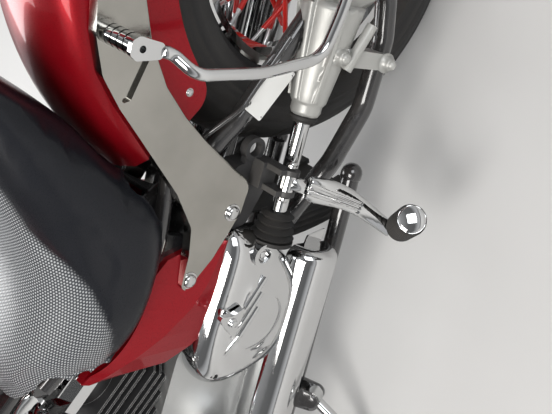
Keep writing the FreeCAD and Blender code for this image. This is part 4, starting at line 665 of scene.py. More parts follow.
class Shape:
    """One mesh in the making, in millimetres on the upright machine."""

    def __init__(self) -> None:
        """Starts an empty mesh."""
        self.mesh = bmesh.new()

    def add(self, part: bmesh.types.BMesh, place: Matrix = Matrix()) -> None:
        """Sets a closed part down at its place, with its doubles merged and its faces outwards.

        Args:
            part: the part, which is used up.
            place: its place on the machine.
        """
        bmesh.ops.remove_doubles(part, verts=part.verts, dist=MERGE_MM)
        bmesh.ops.transform(part, matrix=place, verts=part.verts)
        bmesh.ops.recalc_face_normals(part, faces=part.faces)
        scratch = bpy.data.meshes.new("part")
        part.to_mesh(scratch)
        part.free()
        self.mesh.from_mesh(scratch)
        bpy.data.meshes.remove(scratch)

    def turn(self, rows: Sequence[Pair], place: Matrix, steps: int = 28,
             closed: bool = False) -> None:
        """Spins an outline about its own upright axis.

        Args:
            rows: radius and height of each point.
            place: where the axis stands on the machine.
            steps: faces round the axis.
            closed: whether the last point joins the first.
        """
        part = bmesh.new()
        points = [part.verts.new((r, 0.0, h)) for r, h in rows]
        after = points[1:] + (points[:1] if closed else [])
        edges = [part.edges.new(pair) for pair in zip(points, after)]
        bmesh.ops.spin(part, geom=points + edges, axis=(0, 0, 1), cent=(0, 0, 0),
                       angle=math.tau, steps=steps, use_merge=True, use_duplicate=False)
        self.add(part, place)

    def slab(self, size: Triple, place: Matrix, edge: float = 0.5) -> None:
        """Adds a softened rectangular slab.

        Args:
            size: its length, width and height.
            place: its place on the machine.
            edge: width of the bevel.
        """
        part = bmesh.new()
        bmesh.ops.create_cube(part, size=1.0)
        bmesh.ops.scale(part, vec=size, verts=part.verts)
        bevelled(part, part.edges[:], edge, 2)
        self.add(part, place)

    def finish(self, name: str, body: Body, finish: Finish,
               stands_for: Sequence[str] = ()) -> bpy.types.Object:
        """Makes the piece's object, dresses it and lets it ride.

        Args:
            name: the piece's name.
            body: the body that it moves with.
            finish: its finish.
            stands_for: nodes that it replaces.

        Returns:
            The object.
        """
        bmesh.ops.transform(self.mesh, matrix=STANCE, verts=self.mesh.verts)
        mesh = bpy.data.meshes.new(name)
        self.mesh.to_mesh(mesh)
        self.mesh.free()
        mesh.shade_smooth()
        mesh.set_sharp_from_angle(angle=math.radians(SHARP_DEG))
        return settle(name, mesh, body, finish, stands_for)


def settle(name: str, mesh: bpy.types.Mesh, body: Body, finish: Finish,
           stands_for: Sequence[str] = ()) -> bpy.types.Object:
    """Puts a finished mesh into the scene, dressed and riding.

    Args:
        name: the piece's name.
        mesh: its mesh, in the frame's metres.
        body: the body that it moves with.
        finish: its finish.
        stands_for: nodes that it replaces.

    Returns:
        The object.
    """
    piece = linked(name, mesh)
    mesh.materials.clear()
    mesh.materials.append(material_of(finish))
    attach(piece, body.value)
    if stands_for:
        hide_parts(*stands_for)
    LOG.info("piece %s on %s: %s", name, body.value, finish.name)
    return piece


def turned(name: str, body: Body, finish: Finish, rows: Sequence[Pair],
           place: Matrix, steps: int = 28, closed: bool = False) -> None:
    """Makes a piece of one spun outline.

    Args:
        name: the piece's name.
        body: the body that it moves with.
        finish: its finish.
        rows: radius and height of each point.
        place: where the axis stands on the machine.
        steps: faces round the axis.
        closed: whether the last point joins the first.
    """
    shape = Shape()
    shape.turn(rows, place, steps, closed)
    shape.finish(name, body, finish)


def facing(at: Sequence[float], axis: Sequence[float]) -> Matrix:
    """The place at a point whose own upright axis looks along a direction."""
    turn = Vector((0, 0, 1)).rotation_difference(Vector(axis)).to_matrix().to_4x4()
    return Matrix.Translation(Vector(at)) @ turn


def on_steering(up: float, ahead: float, y: float) -> Vector:
    """A point up the steering axis from the ground, ahead of it and to the left."""
    k = math.radians(RAKE_DEG)
    return Vector((STEER_GROUND_X - up * math.sin(k) + ahead * math.cos(k), y,
                   up * math.cos(k) + ahead * math.sin(k)))


@dataclass(frozen=True)
class Skins:
    """Smoothly shaded copies of the curved castings, panels and tubes, by the body they ride."""

    riders: tuple[tuple[Body, str], ...] = (
        (Body.CHASSIS, "rear_fender fuel_tank console air_cleaner engine_cover_right "
                       "exhausts luggage_rails tail_lamp tail_lens rear_signals final_drive "
                       "swingarm frame_cradle_left frame_cradle_right frame_spine "
                       "inner_mudguard"),
        (Body.STEERING, "front_fender headlight front_signals fork_covers fork_legs handlebar "
                        "mirrors triple_clamps hand_controls"),
        (Body.PEG_LEFT, "passenger_peg_left"),
        (Body.PEG_RIGHT, "passenger_peg_right"))

    @staticmethod
    def skin(node: str) -> bpy.types.Mesh:
        """Copies a node's mesh with its triangles joined and its soft edges shaded smooth.

        Args:
            node: the node.

        Returns:
            The joined mesh.
        """
        mesh = merged(frame["nodes"][node].data.copy(), SKIN_MERGE)
        mesh.name = node + "_skin"
        mesh.shade_smooth()
        mesh.set_sharp_from_angle(angle=math.radians(SKIN_SHARP_DEG))
        return mesh

    def build(self) -> None:
        """Makes the copies, which stand for their nodes."""
        for body, names in self.riders:
            for node in names.split():
                piece = settle(node + "_skin", self.skin(node), body, NODE_FINISH[node], [node])
                level = piece.modifiers.new("even_light", "WEIGHTED_NORMAL")
                level.keep_sharp = True
                level.mode = "FACE_AREA_WITH_ANGLE"


@dataclass(frozen=True)
class Fastener:
    """Outline of a turned fastener: its head's radius and height, and its washer."""

    r: float
    high: float
    washer_r: float = 0.0
    washer_high: float = 1.6

    def dome(self) -> list[Pair]:
        """The outline of a round head, from its top to its foot.

        Returns:
            Radius and height rows.
        """
        low = self.washer_high if self.washer_r else 0.0
        rows = [(0.0, low + self.high)]
        rows += [(self.r * math.sin(math.radians(a)),
                  low + self.high * (0.25 + 0.75 * math.cos(math.radians(a))))
                 for a in (15, 30, 45, 60, 75, 90)]
        rows.append((self.r, low))
        if self.washer_r:
            rows += [(self.washer_r - 0.4, low), (self.washer_r, low - 0.5)]
        return rows + [(rows[-1][0], 0.0), (0.0, 0.0)]

    def socket(self) -> list[Pair]:
        """The outline of a cylinder head with a round recess."""
        deep, r, high = self.high * 0.55, self.r, self.high
        return [(0.0, high - deep), (r * 0.52, high - deep), (r * 0.52, high), (r * 0.9, high),
                (r, high - r * 0.1), (r, 0.0), (0.0, 0.0)]

    def acorn(self) -> list[Pair]:
        """The outline of a closed nut with a ball end."""
        r, high = self.r, self.high
        return [(0.0, high), (r * 0.4, high * 0.95), (r * 0.7, high * 0.8), (r * 0.82, high * 0.55),
                (r * 0.84, high * 0.45), (r, high * 0.4), (r, 0.0), (0.0, 0.0)]


@dataclass(frozen=True)
class Fasteners:
    """The small screws and nuts of the chassis, engine, wheels and forks."""

    strut_bolts: Rows = ((504, 472), (399, 421), (-112, 672))
    strut_face: float = 123.8
    fender_spots: Rows = ((228.5, 532.7), (-168, 560))
    fender_face: float = 109.8
    engine: Triple = (840.0, 0.0, 320.0)
    tilt_deg: float = 30.0
    rocker_ledge: float = 295.8
    rocker_reach: float = 63.0
    rings: tuple[tuple[Triple, int, float, int, float], ...] = (
        ((850, 167.8, 262), 1, 44.0, 5, 4.5), ((870, -142.2, 300), -1, 88.0, 8, 5.0),
        ((700, -124.2, 300), -1, 46.0, 5, 4.5), ((840, -134.8, 560), -1, 62.0, 3, 6.0))
    cleaner_bolt: Triple = (840, -137.8, 560)
    case_plug: Triple = (52, 155.0, 362)
    case_ring: Triple = (0, 153.6, REAR_AXLE_HIGH)
    case_reach: float = 66.0
    axle_end: float = 174.8
    pin: Pair = (160, 362)
    pin_ends: tuple[tuple[float, int], ...] = ((361.5, 1), (314.5, -1))
    front_axle: Triple = (1625, 142.8, 318)
    caliper: Triple = (133.0, 91.8, 152.0)
    caliper_half: float = 20.0
    disc_face: float = 68.3
    disc_reach: float = 46.5

    def struts(self) -> None:
        """Domed bolts on their washers through the fender struts."""
        shape = Shape()
        for side in (1, -1):
            for x, z in self.strut_bolts:
                shape.turn(Fastener(10.5, 7.5, 13.5).dome(),
                           facing((x, side * self.strut_face, z), (0, side, 0)))
        shape.finish("strut_bolts", Body.CHASSIS, STEEL_POLISHED)

    def fender_screws(self) -> None:
        """Small round screws low on the rear fender's sides."""
        shape = Shape()
        for side in (1, -1):
            for x, z in self.fender_spots:
                shape.turn(Fastener(4.5, 2.6, 6.0, 0.8).dome(),
                           facing((x, side * self.fender_face, z), (0, side, 0)), 20)
        shape.finish("fender_screws", Body.CHASSIS, STEEL_POLISHED)

    def rocker_screws(self) -> None:
        """Four screws on each rocker cover's ledge."""
        shape = Shape()
        for way in (-1, 1):
            k = math.radians(self.tilt_deg) * way
            along, across = Vector((math.sin(k), 0, math.cos(k))), Vector((0, 1, 0))
            other = along.cross(across)
            for step in (across, -across, other, -other):
                at = Vector(self.engine) + along * self.rocker_ledge + step * self.rocker_reach
                shape.turn(Fastener(5.0, 5.0).socket(), facing(at, along), 20)
        shape.finish("rocker_screws", Body.CHASSIS, STEEL_POLISHED)

    def cover_screws(self) -> None:
        """Rings of screws round the engine's side covers and the air cleaner."""
        shape = Shape()
        for centre, side, reach, count, r in self.rings:
            for at in ring(centre, reach, count, 0.25):
                shape.turn(Fastener(r, r * 0.8).socket(), facing(at, (0, side, 0)), 20)
        shape.turn(Fastener(15.0, 8.0, 19.0).dome(), facing(self.cleaner_bolt, (0, -1, 0)))
        shape.finish("cover_screws", Body.CHASSIS, STEEL_POLISHED)

    def drive_nuts(self) -> None:
        """Plugs and nuts on the bevel case, washers of its strap and the axle's ends."""
        shape = Shape()
        shape.turn([(0, 5), (7, 5), (8, 4), (8, 0), (0, 0)], facing(self.case_plug, (0, 1, 0)), 6)
        for at in ring(self.case_ring, self.case_reach, 6, 0.5):
            shape.turn(Fastener(5.0, 5.0, 7.0, 1.0).dome(), facing(at, (0, 1, 0)), 20)
        for side in (1, -1):
            shape.turn(Fastener(14.5, 10.0).acorn(),
                       facing((0, side * self.axle_end, REAR_AXLE_HIGH), (0, side, 0)))
        shape.finish("drive_nuts", Body.CHASSIS, STEEL_POLISHED)

    def peg_nuts(self) -> None:
        """Round nuts on both ends of the passenger pegs' pins."""
        shape, (y, z) = Shape(), self.pin
        for side in (1, -1):
            for x, way in self.pin_ends:
                shape.turn(Fastener(8.5, 9.0).acorn(), facing((x, side * y, z), (way, 0, 0)), 22)
        shape.finish("peg_nuts", Body.CHASSIS, STEEL_POLISHED)

    def front_nuts(self) -> None:
        """Axle ends and caliper bolts on the forks, and the disc's bolts on the wheel."""
        shape, (x, y, z) = Shape(), self.front_axle
        for side in (1, -1):
            shape.turn(Fastener(13.5, 9.0).acorn(), facing((x, side * y, z), (0, side, 0)))
        reach, face, angle = self.caliper
        a = math.radians(angle)
        for step in (-self.caliper_half, self.caliper_half):
            at = (x + reach * math.cos(a) - step * math.sin(a), face,
                  z + reach * math.sin(a) + step * math.cos(a))
            shape.turn(Fastener(8.0, 6.0).socket(), facing(at, (0, 1, 0)))
        shape.finish("front_nuts", Body.STEERING, STEEL_POLISHED)
        shape = Shape()
        for at in ring((x, self.disc_face, z), self.disc_reach, 5):
            shape.turn(Fastener(4.8, 4.0).dome(), facing(at, (0, 1, 0)), 20)
        shape.finish("disc_bolts", Body.FRONT_WHEEL, STEEL_POLISHED)

    def build(self) -> None:
        """Makes every fastener."""
        self.struts()
        self.fender_screws()
        self.rocker_screws()
        self.cover_screws()
        self.drive_nuts()
        self.peg_nuts()
        self.front_nuts()


@dataclass(frozen=True)
class RoadTyre:
    """Tyre with a grooved crown, a shoulder step and ribbed side walls."""

    node: str
    body: Body
    centre: Triple
    outer: float
    half: float
    flange_r: float
    rim_half: float
    steps: int = 240
    groove_every: int = 8
    groove_deep: float = 4.0
    groove_edge: float = 0.9
    wall: float = 9.0
    twist_deg: float = 7.0
    crown: Rows = (
        (0, -3.5), (1.6, -3.5), (2.6, 0), (8, 0), (14, 0), (22, 0), (30, 0), (38, 0), (46, 0),
        (54, 0), (59, 0), (60, -0.9), (66, -0.9), (67, -0.3), (74, -0.3), (75, 0), (77, 0),
        (78, -0.8), (82, -0.8), (83, 0), (85, 0), (86, -0.8), (94, -0.8), (95, -0.1), (105, 0))
    groove_band: Pair = (8.0, 54.0)

    def rows(self) -> list[Pair]:
        """The closed section: outside over the crown, beads and the inside.

        Returns:
            Radius from the axle and height above the middle plane.
        """
        mid, bead = self.outer - self.half, self.rim_half - 6.5
        right = [(mid + (self.half + off) * math.cos(math.radians(a)),
                  (self.half + off) * math.sin(math.radians(a))) for a, off in self.crown]
        right += [(self.flange_r + 4, bead + 3.6), (self.flange_r + 1, bead - 0.4),
                  (self.flange_r - 11, bead - 0.4), (self.flange_r - 11, bead - 8)]
        inner = self.half - self.wall
        right += [(mid + inner * math.cos(math.radians(a)), inner * math.sin(math.radians(a)))
                  for a in (105, 80, 55, 28)]
        inside = (mid + inner, 0.0)
        return right + [inside] + [(r, -h) for r, h in right[:0:-1]]

    def build(self) -> bpy.types.Object:
        """Makes the tyre.

        Returns:
            The object, which stands for the node.
        """
        part = bmesh.new()
        points = [part.verts.new((r, h, 0.0)) for r, h in self.rows()]
        edges = [part.edges.new(pair) for pair in zip(points, points[1:] + points[:1])]
        bmesh.ops.spin(part, geom=points + edges, axis=(0, 1, 0), cent=(0, 0, 0), angle=math.tau,
                       steps=self.steps, use_merge=True, use_duplicate=False)
        bmesh.ops.remove_doubles(part, verts=part.verts, dist=MERGE_MM)
        bmesh.ops.recalc_face_normals(part, faces=part.faces)
        mid = self.outer - self.half
        low, high = (self.half * math.sin(math.radians(a)) for a in self.groove_band)
        cut = []
        for face in part.faces:
            at = face.calc_center_median()
            flat = math.hypot(at.x, at.z)
            deep = math.hypot(flat - mid, at.y)
            turn = round(math.degrees(math.atan2(at.z, at.x)) / 360.0 * self.steps - 0.5)
            offset = 0 if at.y > 0 else self.groove_every // 2
            if deep > self.half - 1.5 and low < abs(at.y) < high \
                    and (turn + offset) % self.groove_every == 0:
                cut.append(face)
        bmesh.ops.inset_region(part, faces=cut, thickness=self.groove_edge,
                               depth=-self.groove_deep, use_even_offset=True, use_boundary=True)
        for vert in part.verts:
            share = min(abs(vert.co.y) / self.half, 1.0)
            spin = Matrix.Rotation(math.radians(self.twist_deg) * share, 3, "Y")
            vert.co = spin @ vert.co
        shape = Shape()
        shape.add(part, Matrix.Translation(Vector(self.centre)))
        return shape.finish(self.node + "_grooved", self.body, TYRE, [self.node])


@dataclass(frozen=True)
class Cushion:
    """Foam pad under vinyl, swollen by a cloth simulation inside its solid's space."""

    node: str
    fill: float
    voxel: float = 0.006
    inset: float = 0.006
    cap: float = 0.006
    passes: int = 4
    iron_passes: int = 3
    map_passes: int = 4
    frames: int = 20
    quality: int = 4
    pressure: float = 4.0
    seam: Rows = ()
    seam_soft: float = 6.0
    channel_deep: float = 3.5
    channel_half: float = 7.0
    middle_half: float = 5.0
    looks_up: float = 0.2
    map_lean_deg: float = 28.0
    nose_from: float = 590.0
    nose_run: float = 90.0
    nose_wide: float = 9.0
    side_run: float = 60.0

    def start(self) -> bpy.types.Object:
        """Copies the solid, remeshes it evenly and draws it in a little.

        Returns:
            The working object.
        """
        piece = linked(self.node + "_work",
                       merged(frame["nodes"][self.node].data.copy(), PAD_MERGE))
        remesh = piece.modifiers.new("even", "REMESH")
        remesh.mode = "VOXEL"
        remesh.voxel_size = self.voxel
        self.apply(piece)
        shape = bmesh.new()
        shape.from_mesh(piece.data)
        relaxed(shape, self.passes)
        shape.normal_update()
        inward = [vert.normal * -self.inset for vert in shape.verts]
        for vert, step in zip(shape.verts, inward):
            vert.co += step
        shape.to_mesh(piece.data)
        shape.free()
        return piece

    @staticmethod
    def apply(piece: bpy.types.Object) -> None:
        """Gives the piece the mesh that its modifiers make, and takes them off."""
        ready = piece.evaluated_get(bpy.context.evaluated_depsgraph_get())
        mesh = bpy.data.meshes.new_from_object(ready)
        piece.modifiers.clear()
        piece.data = mesh

    def swell(self, piece: bpy.types.Object) -> None:
        """Blows the pad up by cloth pressure and caps how far each point moves.

        Args:
            piece: the working object.
        """
        cloth = piece.modifiers.new("swell", "CLOTH")
        cloth.settings.quality = self.quality
        cloth.settings.use_pressure = True
        cloth.settings.uniform_pressure_force = self.pressure
        cloth.settings.effector_weights.gravity = 0.0
        before = [vert.co.copy() for vert in piece.data.vertices]
        for number in range(1, self.frames + 1):
            bpy.context.scene.frame_set(number)
        self.apply(piece)
        bpy.context.scene.frame_set(1)
        for vert, old in zip(piece.data.vertices, before):
            step = vert.co - old
            if step.length > self.cap:
                vert.co = old + step * (self.cap / step.length)

    def beyond(self, x: float, z: float) -> float:
        """How far a point lies above and ahead of the seam's line, seen from the side.

        Args:
            x: along the upright machine.
            z: its height.

        Returns:
            The signed distance in millimetres.
        """
        best, sign = math.inf, 1.0
        for (ax, az), (bx, bz) in zip(self.seam, self.seam[1:]):
            run_x, run_z, off_x, off_z = bx - ax, bz - az, x - ax, z - az
            share = (off_x * run_x + off_z * run_z) / (run_x * run_x + run_z * run_z)
            share = min(max(share, 0.0), 1.0)
            away_x, away_z = off_x - run_x * share, off_z - run_z * share
            away = away_x * away_x + away_z * away_z
            if away < best:
                best, sign = away, 1.0 if run_x * away_z - run_z * away_x > 0 else -1.0
        return math.sqrt(best) * sign

    def sew(self, mesh: bpy.types.Mesh) -> None:
        """Presses the sewn channel in and marks the stippled panel.

        Args:
            mesh: the padded mesh.
        """
        back = STANCE.inverted()
        panel = mesh.attributes.new("panel", "FLOAT", "POINT")
        for vert in mesh.vertices:
            at = back @ vert.co
            reach = self.beyond(at.x, at.z) if self.seam else -math.inf
            panel.data[vert.index].value = min(max(0.5 + reach / self.seam_soft, 0.0), 1.0)
            press = self.channel_deep * math.exp(-(reach / self.channel_half) ** 2)
            vert.co -= vert.normal * (press * MM)

    def rounds(self, mesh: bpy.types.Mesh) -> list[float]:
        """Measures each point's way over the pad from its middle line.

        Args:
            mesh: the padded mesh.

        Returns:
            The signed distances in millimetres, one for each point.
        """
        back = STANCE.inverted()
        spots = [back @ vert.co for vert in mesh.vertices]
        near = [set() for _ in spots]
        for face in mesh.polygons:
            for index in face.vertices:
                near[index].update(face.vertices)
        reach = [math.inf] * len(spots)
        queue = []
        for index, at in enumerate(spots):
            if abs(at.y) < self.middle_half and mesh.vertices[index].normal.z > self.looks_up:
                reach[index] = abs(at.y)
                queue.append((reach[index], index))
        heapq.heapify(queue)
        while queue:
            gone, index = heapq.heappop(queue)
            if gone > reach[index]:
                continue
            for other in near[index]:
                way = gone + (spots[other] - spots[index]).length
                if way < reach[other]:
                    reach[other] = way
                    heapq.heappush(queue, (way, other))
        ways = [math.copysign(way, at.y) for way, at in zip(reach, spots)]
        for _ in range(self.map_passes):
            ways = [sum(ways[other] for other in ring) / len(ring) for ring in near]
        return ways

    def spread(self, mesh: bpy.types.Mesh) -> None:
        """Lays the panel's pattern out along the pad and round its sides, in metres.

        Args:
            mesh: the padded mesh.
        """
        back = STANCE.inverted()
        layer = mesh.uv_layers.new(name="panel_map")
        lean = math.radians(self.map_lean_deg)
        spots = []
        for vert, way in zip(mesh.vertices, self.rounds(mesh)):
            at = back @ vert.co
            along = at.x * math.cos(lean) - at.z * math.sin(lean)
            spots.append((along * MM, way * MM))
        for loop in mesh.loops:
            layer.data[loop.index].uv = spots[loop.vertex_index]

    def iron(self, mesh: bpy.types.Mesh) -> None:
        """Takes small puckers out of the cover and gives the saddle's nose its full width.

        Args:
            mesh: the padded mesh.
        """
        back = STANCE.inverted()
        shape = bmesh.new()
        shape.from_mesh(mesh)
        relaxed(shape, self.iron_passes)
        for vert in shape.verts:
            at = back @ vert.co
            share = min(max((at.x - self.nose_from) / self.nose_run, 0.0), 1.0)
            side = min(max(at.y / self.side_run, -1.0), 1.0)
            at.y += self.nose_wide * share * share * (3.0 - 2.0 * share) * side
            vert.co = STANCE @ at
        shape.to_mesh(mesh)
        shape.free()

    def build(self, name: str, finish: Finish) -> bpy.types.Object:
        """Makes the pad.

        Args:
            name: the piece's name.
            finish: its cover.

        Returns:
            The object, which stands for the node.
        """
        work = self.start()
        self.swell(work)
        mesh = work.data
        bpy.data.objects.remove(work)
        mesh.name = name
        self.iron(mesh)
        self.sew(mesh)
        self.spread(mesh)
        mesh.shade_smooth()
        piece = settle(name, mesh, Body.CHASSIS, finish, [self.node])
        rounder = piece.modifiers.new("rounder", "SUBSURF")
        rounder.levels = rounder.render_levels = 1
        return piece


@dataclass(frozen=True)
class HandRubber:
    """Ribbed grips of the handlebar with their plated end caps."""

    bar_r: float = 12.9
    long: float = 120.0
    end: Triple = (878.3, 430.0, 1041.98)
    way: Triple = (-0.7408, 0.6482, -0.1760)
    ribs: int = 15
    ribs_from: float = 8.0
    cap_out: float = 6.0

    def rows(self) -> list[Pair]:
        """The grip's closed section, from its inner flange to its end."""
        rows = [(self.bar_r, 0.0), (20.5, 0.0), (21.0, 1.5), (21.0, 4.0), (17.4, 6.0)]
        pitch = (self.long - self.ribs_from - 10.0) / self.ribs
        for n in range(self.ribs):
            at = self.ribs_from + n * pitch
            rows += [(17.4, at), (17.4, at + pitch * 0.62), (15.9, at + pitch * 0.72),
                     (15.9, at + pitch * 0.92)]
        return rows + [(17.4, self.long - 8.0), (18.2, self.long - 6.0), (18.2, self.long - 1.0),
                       (17.2, self.long), (self.bar_r, self.long)]

    def build(self) -> None:
        """Makes both grips and their caps."""
        rubber, caps = Shape(), Shape()
        for side in (1, -1):
            along = Vector((self.way[0], side * self.way[1], self.way[2]))
            end = Vector((self.end[0], side * self.end[1], self.end[2]))
            rubber.turn(self.rows(), facing(end - along * (self.long - self.cap_out), along),
                        closed=True)
            caps.turn([(0, 4.6), (9, 4.2), (14.5, 2.8), (16.6, 0.6), (16.6, -0.6), (0, -0.6)],
                      facing(end + along * self.cap_out, along))
        rubber.finish("grip_rubbers", Body.STEERING, RUBBER, ["grips"])
        caps.finish("grip_caps", Body.STEERING, CHROME)


@dataclass(frozen=True)
class FootRubbers:
    """Ribbed sleeves on the rider's pegs, plugs in the frame's ends and the shaft's seal."""

    peg: Triple = (1010.2, 171.0, 252.0)
    toe: Triple = (1160.2, 208.0, 272.0)
    rail_toe_in: float = -0.026
    rail_end: Triple = (352.0, 96.0, 148.0)
    neck: Triple = (244.0, 129.0, 333.0)

    @staticmethod
    def sleeve(inner: float, outer: float, long: float, ribs: int) -> list[Pair]:
        """A sleeve's closed section.

        Args:
            inner: its bore.
            outer: its radius over the ribs.
            long: its length.
            ribs: how many ribs it has.

        Returns:
            Radius and height rows.
        """
        rows, pitch = [(inner, 0.0)], long / ribs
        for n in range(ribs):
            at = n * pitch
            rows += [(outer, at + 0.2), (outer, at + pitch * 0.7), (outer - 1.6, at + pitch * 0.78),
                     (outer - 1.6, at + pitch * 0.96)]
        return rows + [(outer, long), (inner, long)]

    def build(self) -> None:
        """Makes the sleeves and plugs."""
        shape = Shape()
        for side in (1, -1):
            for (x, y, z), sizes, steps in ((self.peg, (20.05, 22.5, 112.0, 14), 40),
                                            (self.toe, (10.05, 13.0, 52.0, 7), 28)):
                shape.turn(self.sleeve(*sizes), facing((x, side * y, z), (0, side, 0)), steps,
                           closed=True)
        shape.finish("foot_rubbers", Body.CHASSIS, RUBBER)
        shape, (x, y, z) = Shape(), self.rail_end
        for side in (1, -1):
            shape.turn([(0, 17), (7, 16), (12.5, 13), (16.5, 8), (18.5, 2), (18.5, -8), (17.0, -10),
                        (0, -10)], facing((x, side * y, z), (-1, side * self.rail_toe_in, 0)), 36)
        shape.finish("rail_plugs", Body.CHASSIS, BLACK)
        turned("shaft_seal", Body.CHASSIS, RUBBER,
               [(12.9, 0.2), (19.5, 0.2), (21.5, 1.5), (21.5, 6.5), (18.5, 8.0), (17.5, 11.0),
                (12.9, 12.0)], facing(self.neck, (1, 0, 0)), 40, closed=True)


@dataclass(frozen=True)
class PassengerPegs:
    """Ribs round the passenger pegs' rubbers and domed caps on their ends."""

    inner: Triple = (374.0, 262.0, 204.0)
    outer: Triple = (331.0, 322.0, 272.0)
    pivot: Triple = (338.0, 160.0, 362.0)
    right_up_deg: float = 62.0
    r: float = 21.5
    ribs: int = 9
    ribs_from: float = 5.0
    pitch: float = 10.4

    def place(self, side: int) -> Matrix:
        """Where a peg's own axis stands, from its inner end.

        Args:
            side: 1 for the left peg, -1 for the right one.

        Returns:
            The peg's place on the upright machine.
        """
        start, end = Vector(self.inner), Vector(self.outer)
        way = end - start
        if side > 0:
            return facing(start, way)
        hinge = Matrix.Translation((self.pivot[0], -self.pivot[1], self.pivot[2]))
        lift = Matrix.Rotation(math.radians(-self.right_up_deg), 4, "X")
        return hinge @ lift @ hinge.inverted() @ facing((start.x, -start.y, start.z),
                                                        (way.x, -way.y, way.z))

    def build(self) -> None:
        """Makes both pegs' ribs and caps."""
        long = (Vector(self.outer) - Vector(self.inner)).length
        for side, tag, body in ((1, "left", Body.PEG_LEFT), (-1, "right", Body.PEG_RIGHT)):
            place, ribs = self.place(side), Shape()
            for n in range(self.ribs):
                at = self.ribs_from + n * self.pitch
                ribs.turn([(self.r - 0.1, at), (self.r + 1.3, at + 1.2), (self.r + 1.3, at + 5.0),
                           (self.r - 0.1, at + 6.2)], place, 40, closed=True)
            ribs.finish("peg_ribs_" + tag, body, RUBBER)
            turned("peg_cap_" + tag, body, CHROME,
                   [(0, long + 7.4), (6, long + 7.1), (11.5, long + 6.2), (16, long + 4.9),
                    (18.4, long + 3.9), (19.4, long + 3.02), (0, long + 3.02)], place, 44)


@dataclass(frozen=True)
class Label:
    """Blank pale plate with a dark edge, riveted flat on the left upper swingarm tube."""

    corners: Rows = ((241, 449), (259, 414), (187, 368), (171, 403))
    face: float = 124.2
    edge_thick: float = 1.2
    face_thick: float = 0.3
    trim: float = 1.6
    rivet_share: float = 0.86

    def sheet(self, out: float, thick: float, trim: float) -> Shape:
        """A thin rounded sheet within the plate's corners.

        Args:
            out: how far its inner face stands out from the plate's own.
            thick: its thickness.
            trim: how much smaller it is than the plate on each edge.

        Returns:
            The shape.
        """
        part = bmesh.new()
        points = [part.verts.new((x, self.face + out, z)) for x, z in self.corners]
        face = part.faces.new(points)
        if trim:
            bmesh.ops.inset_region(part, faces=[face], thickness=trim, use_boundary=True)
            rim = [other for other in part.faces if other is not face]
            bmesh.ops.delete(part, geom=rim, context="FACES")
        bevelled(part, part.verts[:], 3.0, 4, "VERTICES")
        pushed = bmesh.ops.extrude_face_region(part, geom=part.faces[:])["geom"]
        for vert in pushed:
            if isinstance(vert, bmesh.types.BMVert):
                vert.co.y += thick
        shape = Shape()
        shape.add(part)
        return shape

    def build(self) -> None:
        """Makes the edge, the face and the four rivets."""
        self.sheet(0.0, self.edge_thick, 0.0).finish("label_edge", Body.CHASSIS, PLASTIC)
        self.sheet(self.edge_thick, self.face_thick, self.trim).finish(
            "label_face", Body.CHASSIS, LABEL_WHITE)
        shape, middle = Shape(), sum((Vector(c) for c in self.corners), Vector((0, 0))) / 4
        out = self.face + self.edge_thick + 0.2
        for corner in self.corners:
            at = middle + (Vector(corner) - middle) * self.rivet_share
            shape.turn(Fastener(1.6, 1.0).dome(), facing((at.x, out, at.y), (0, 1, 0)), 14)
        shape.finish("label_rivets", Body.CHASSIS, STEEL_POLISHED)


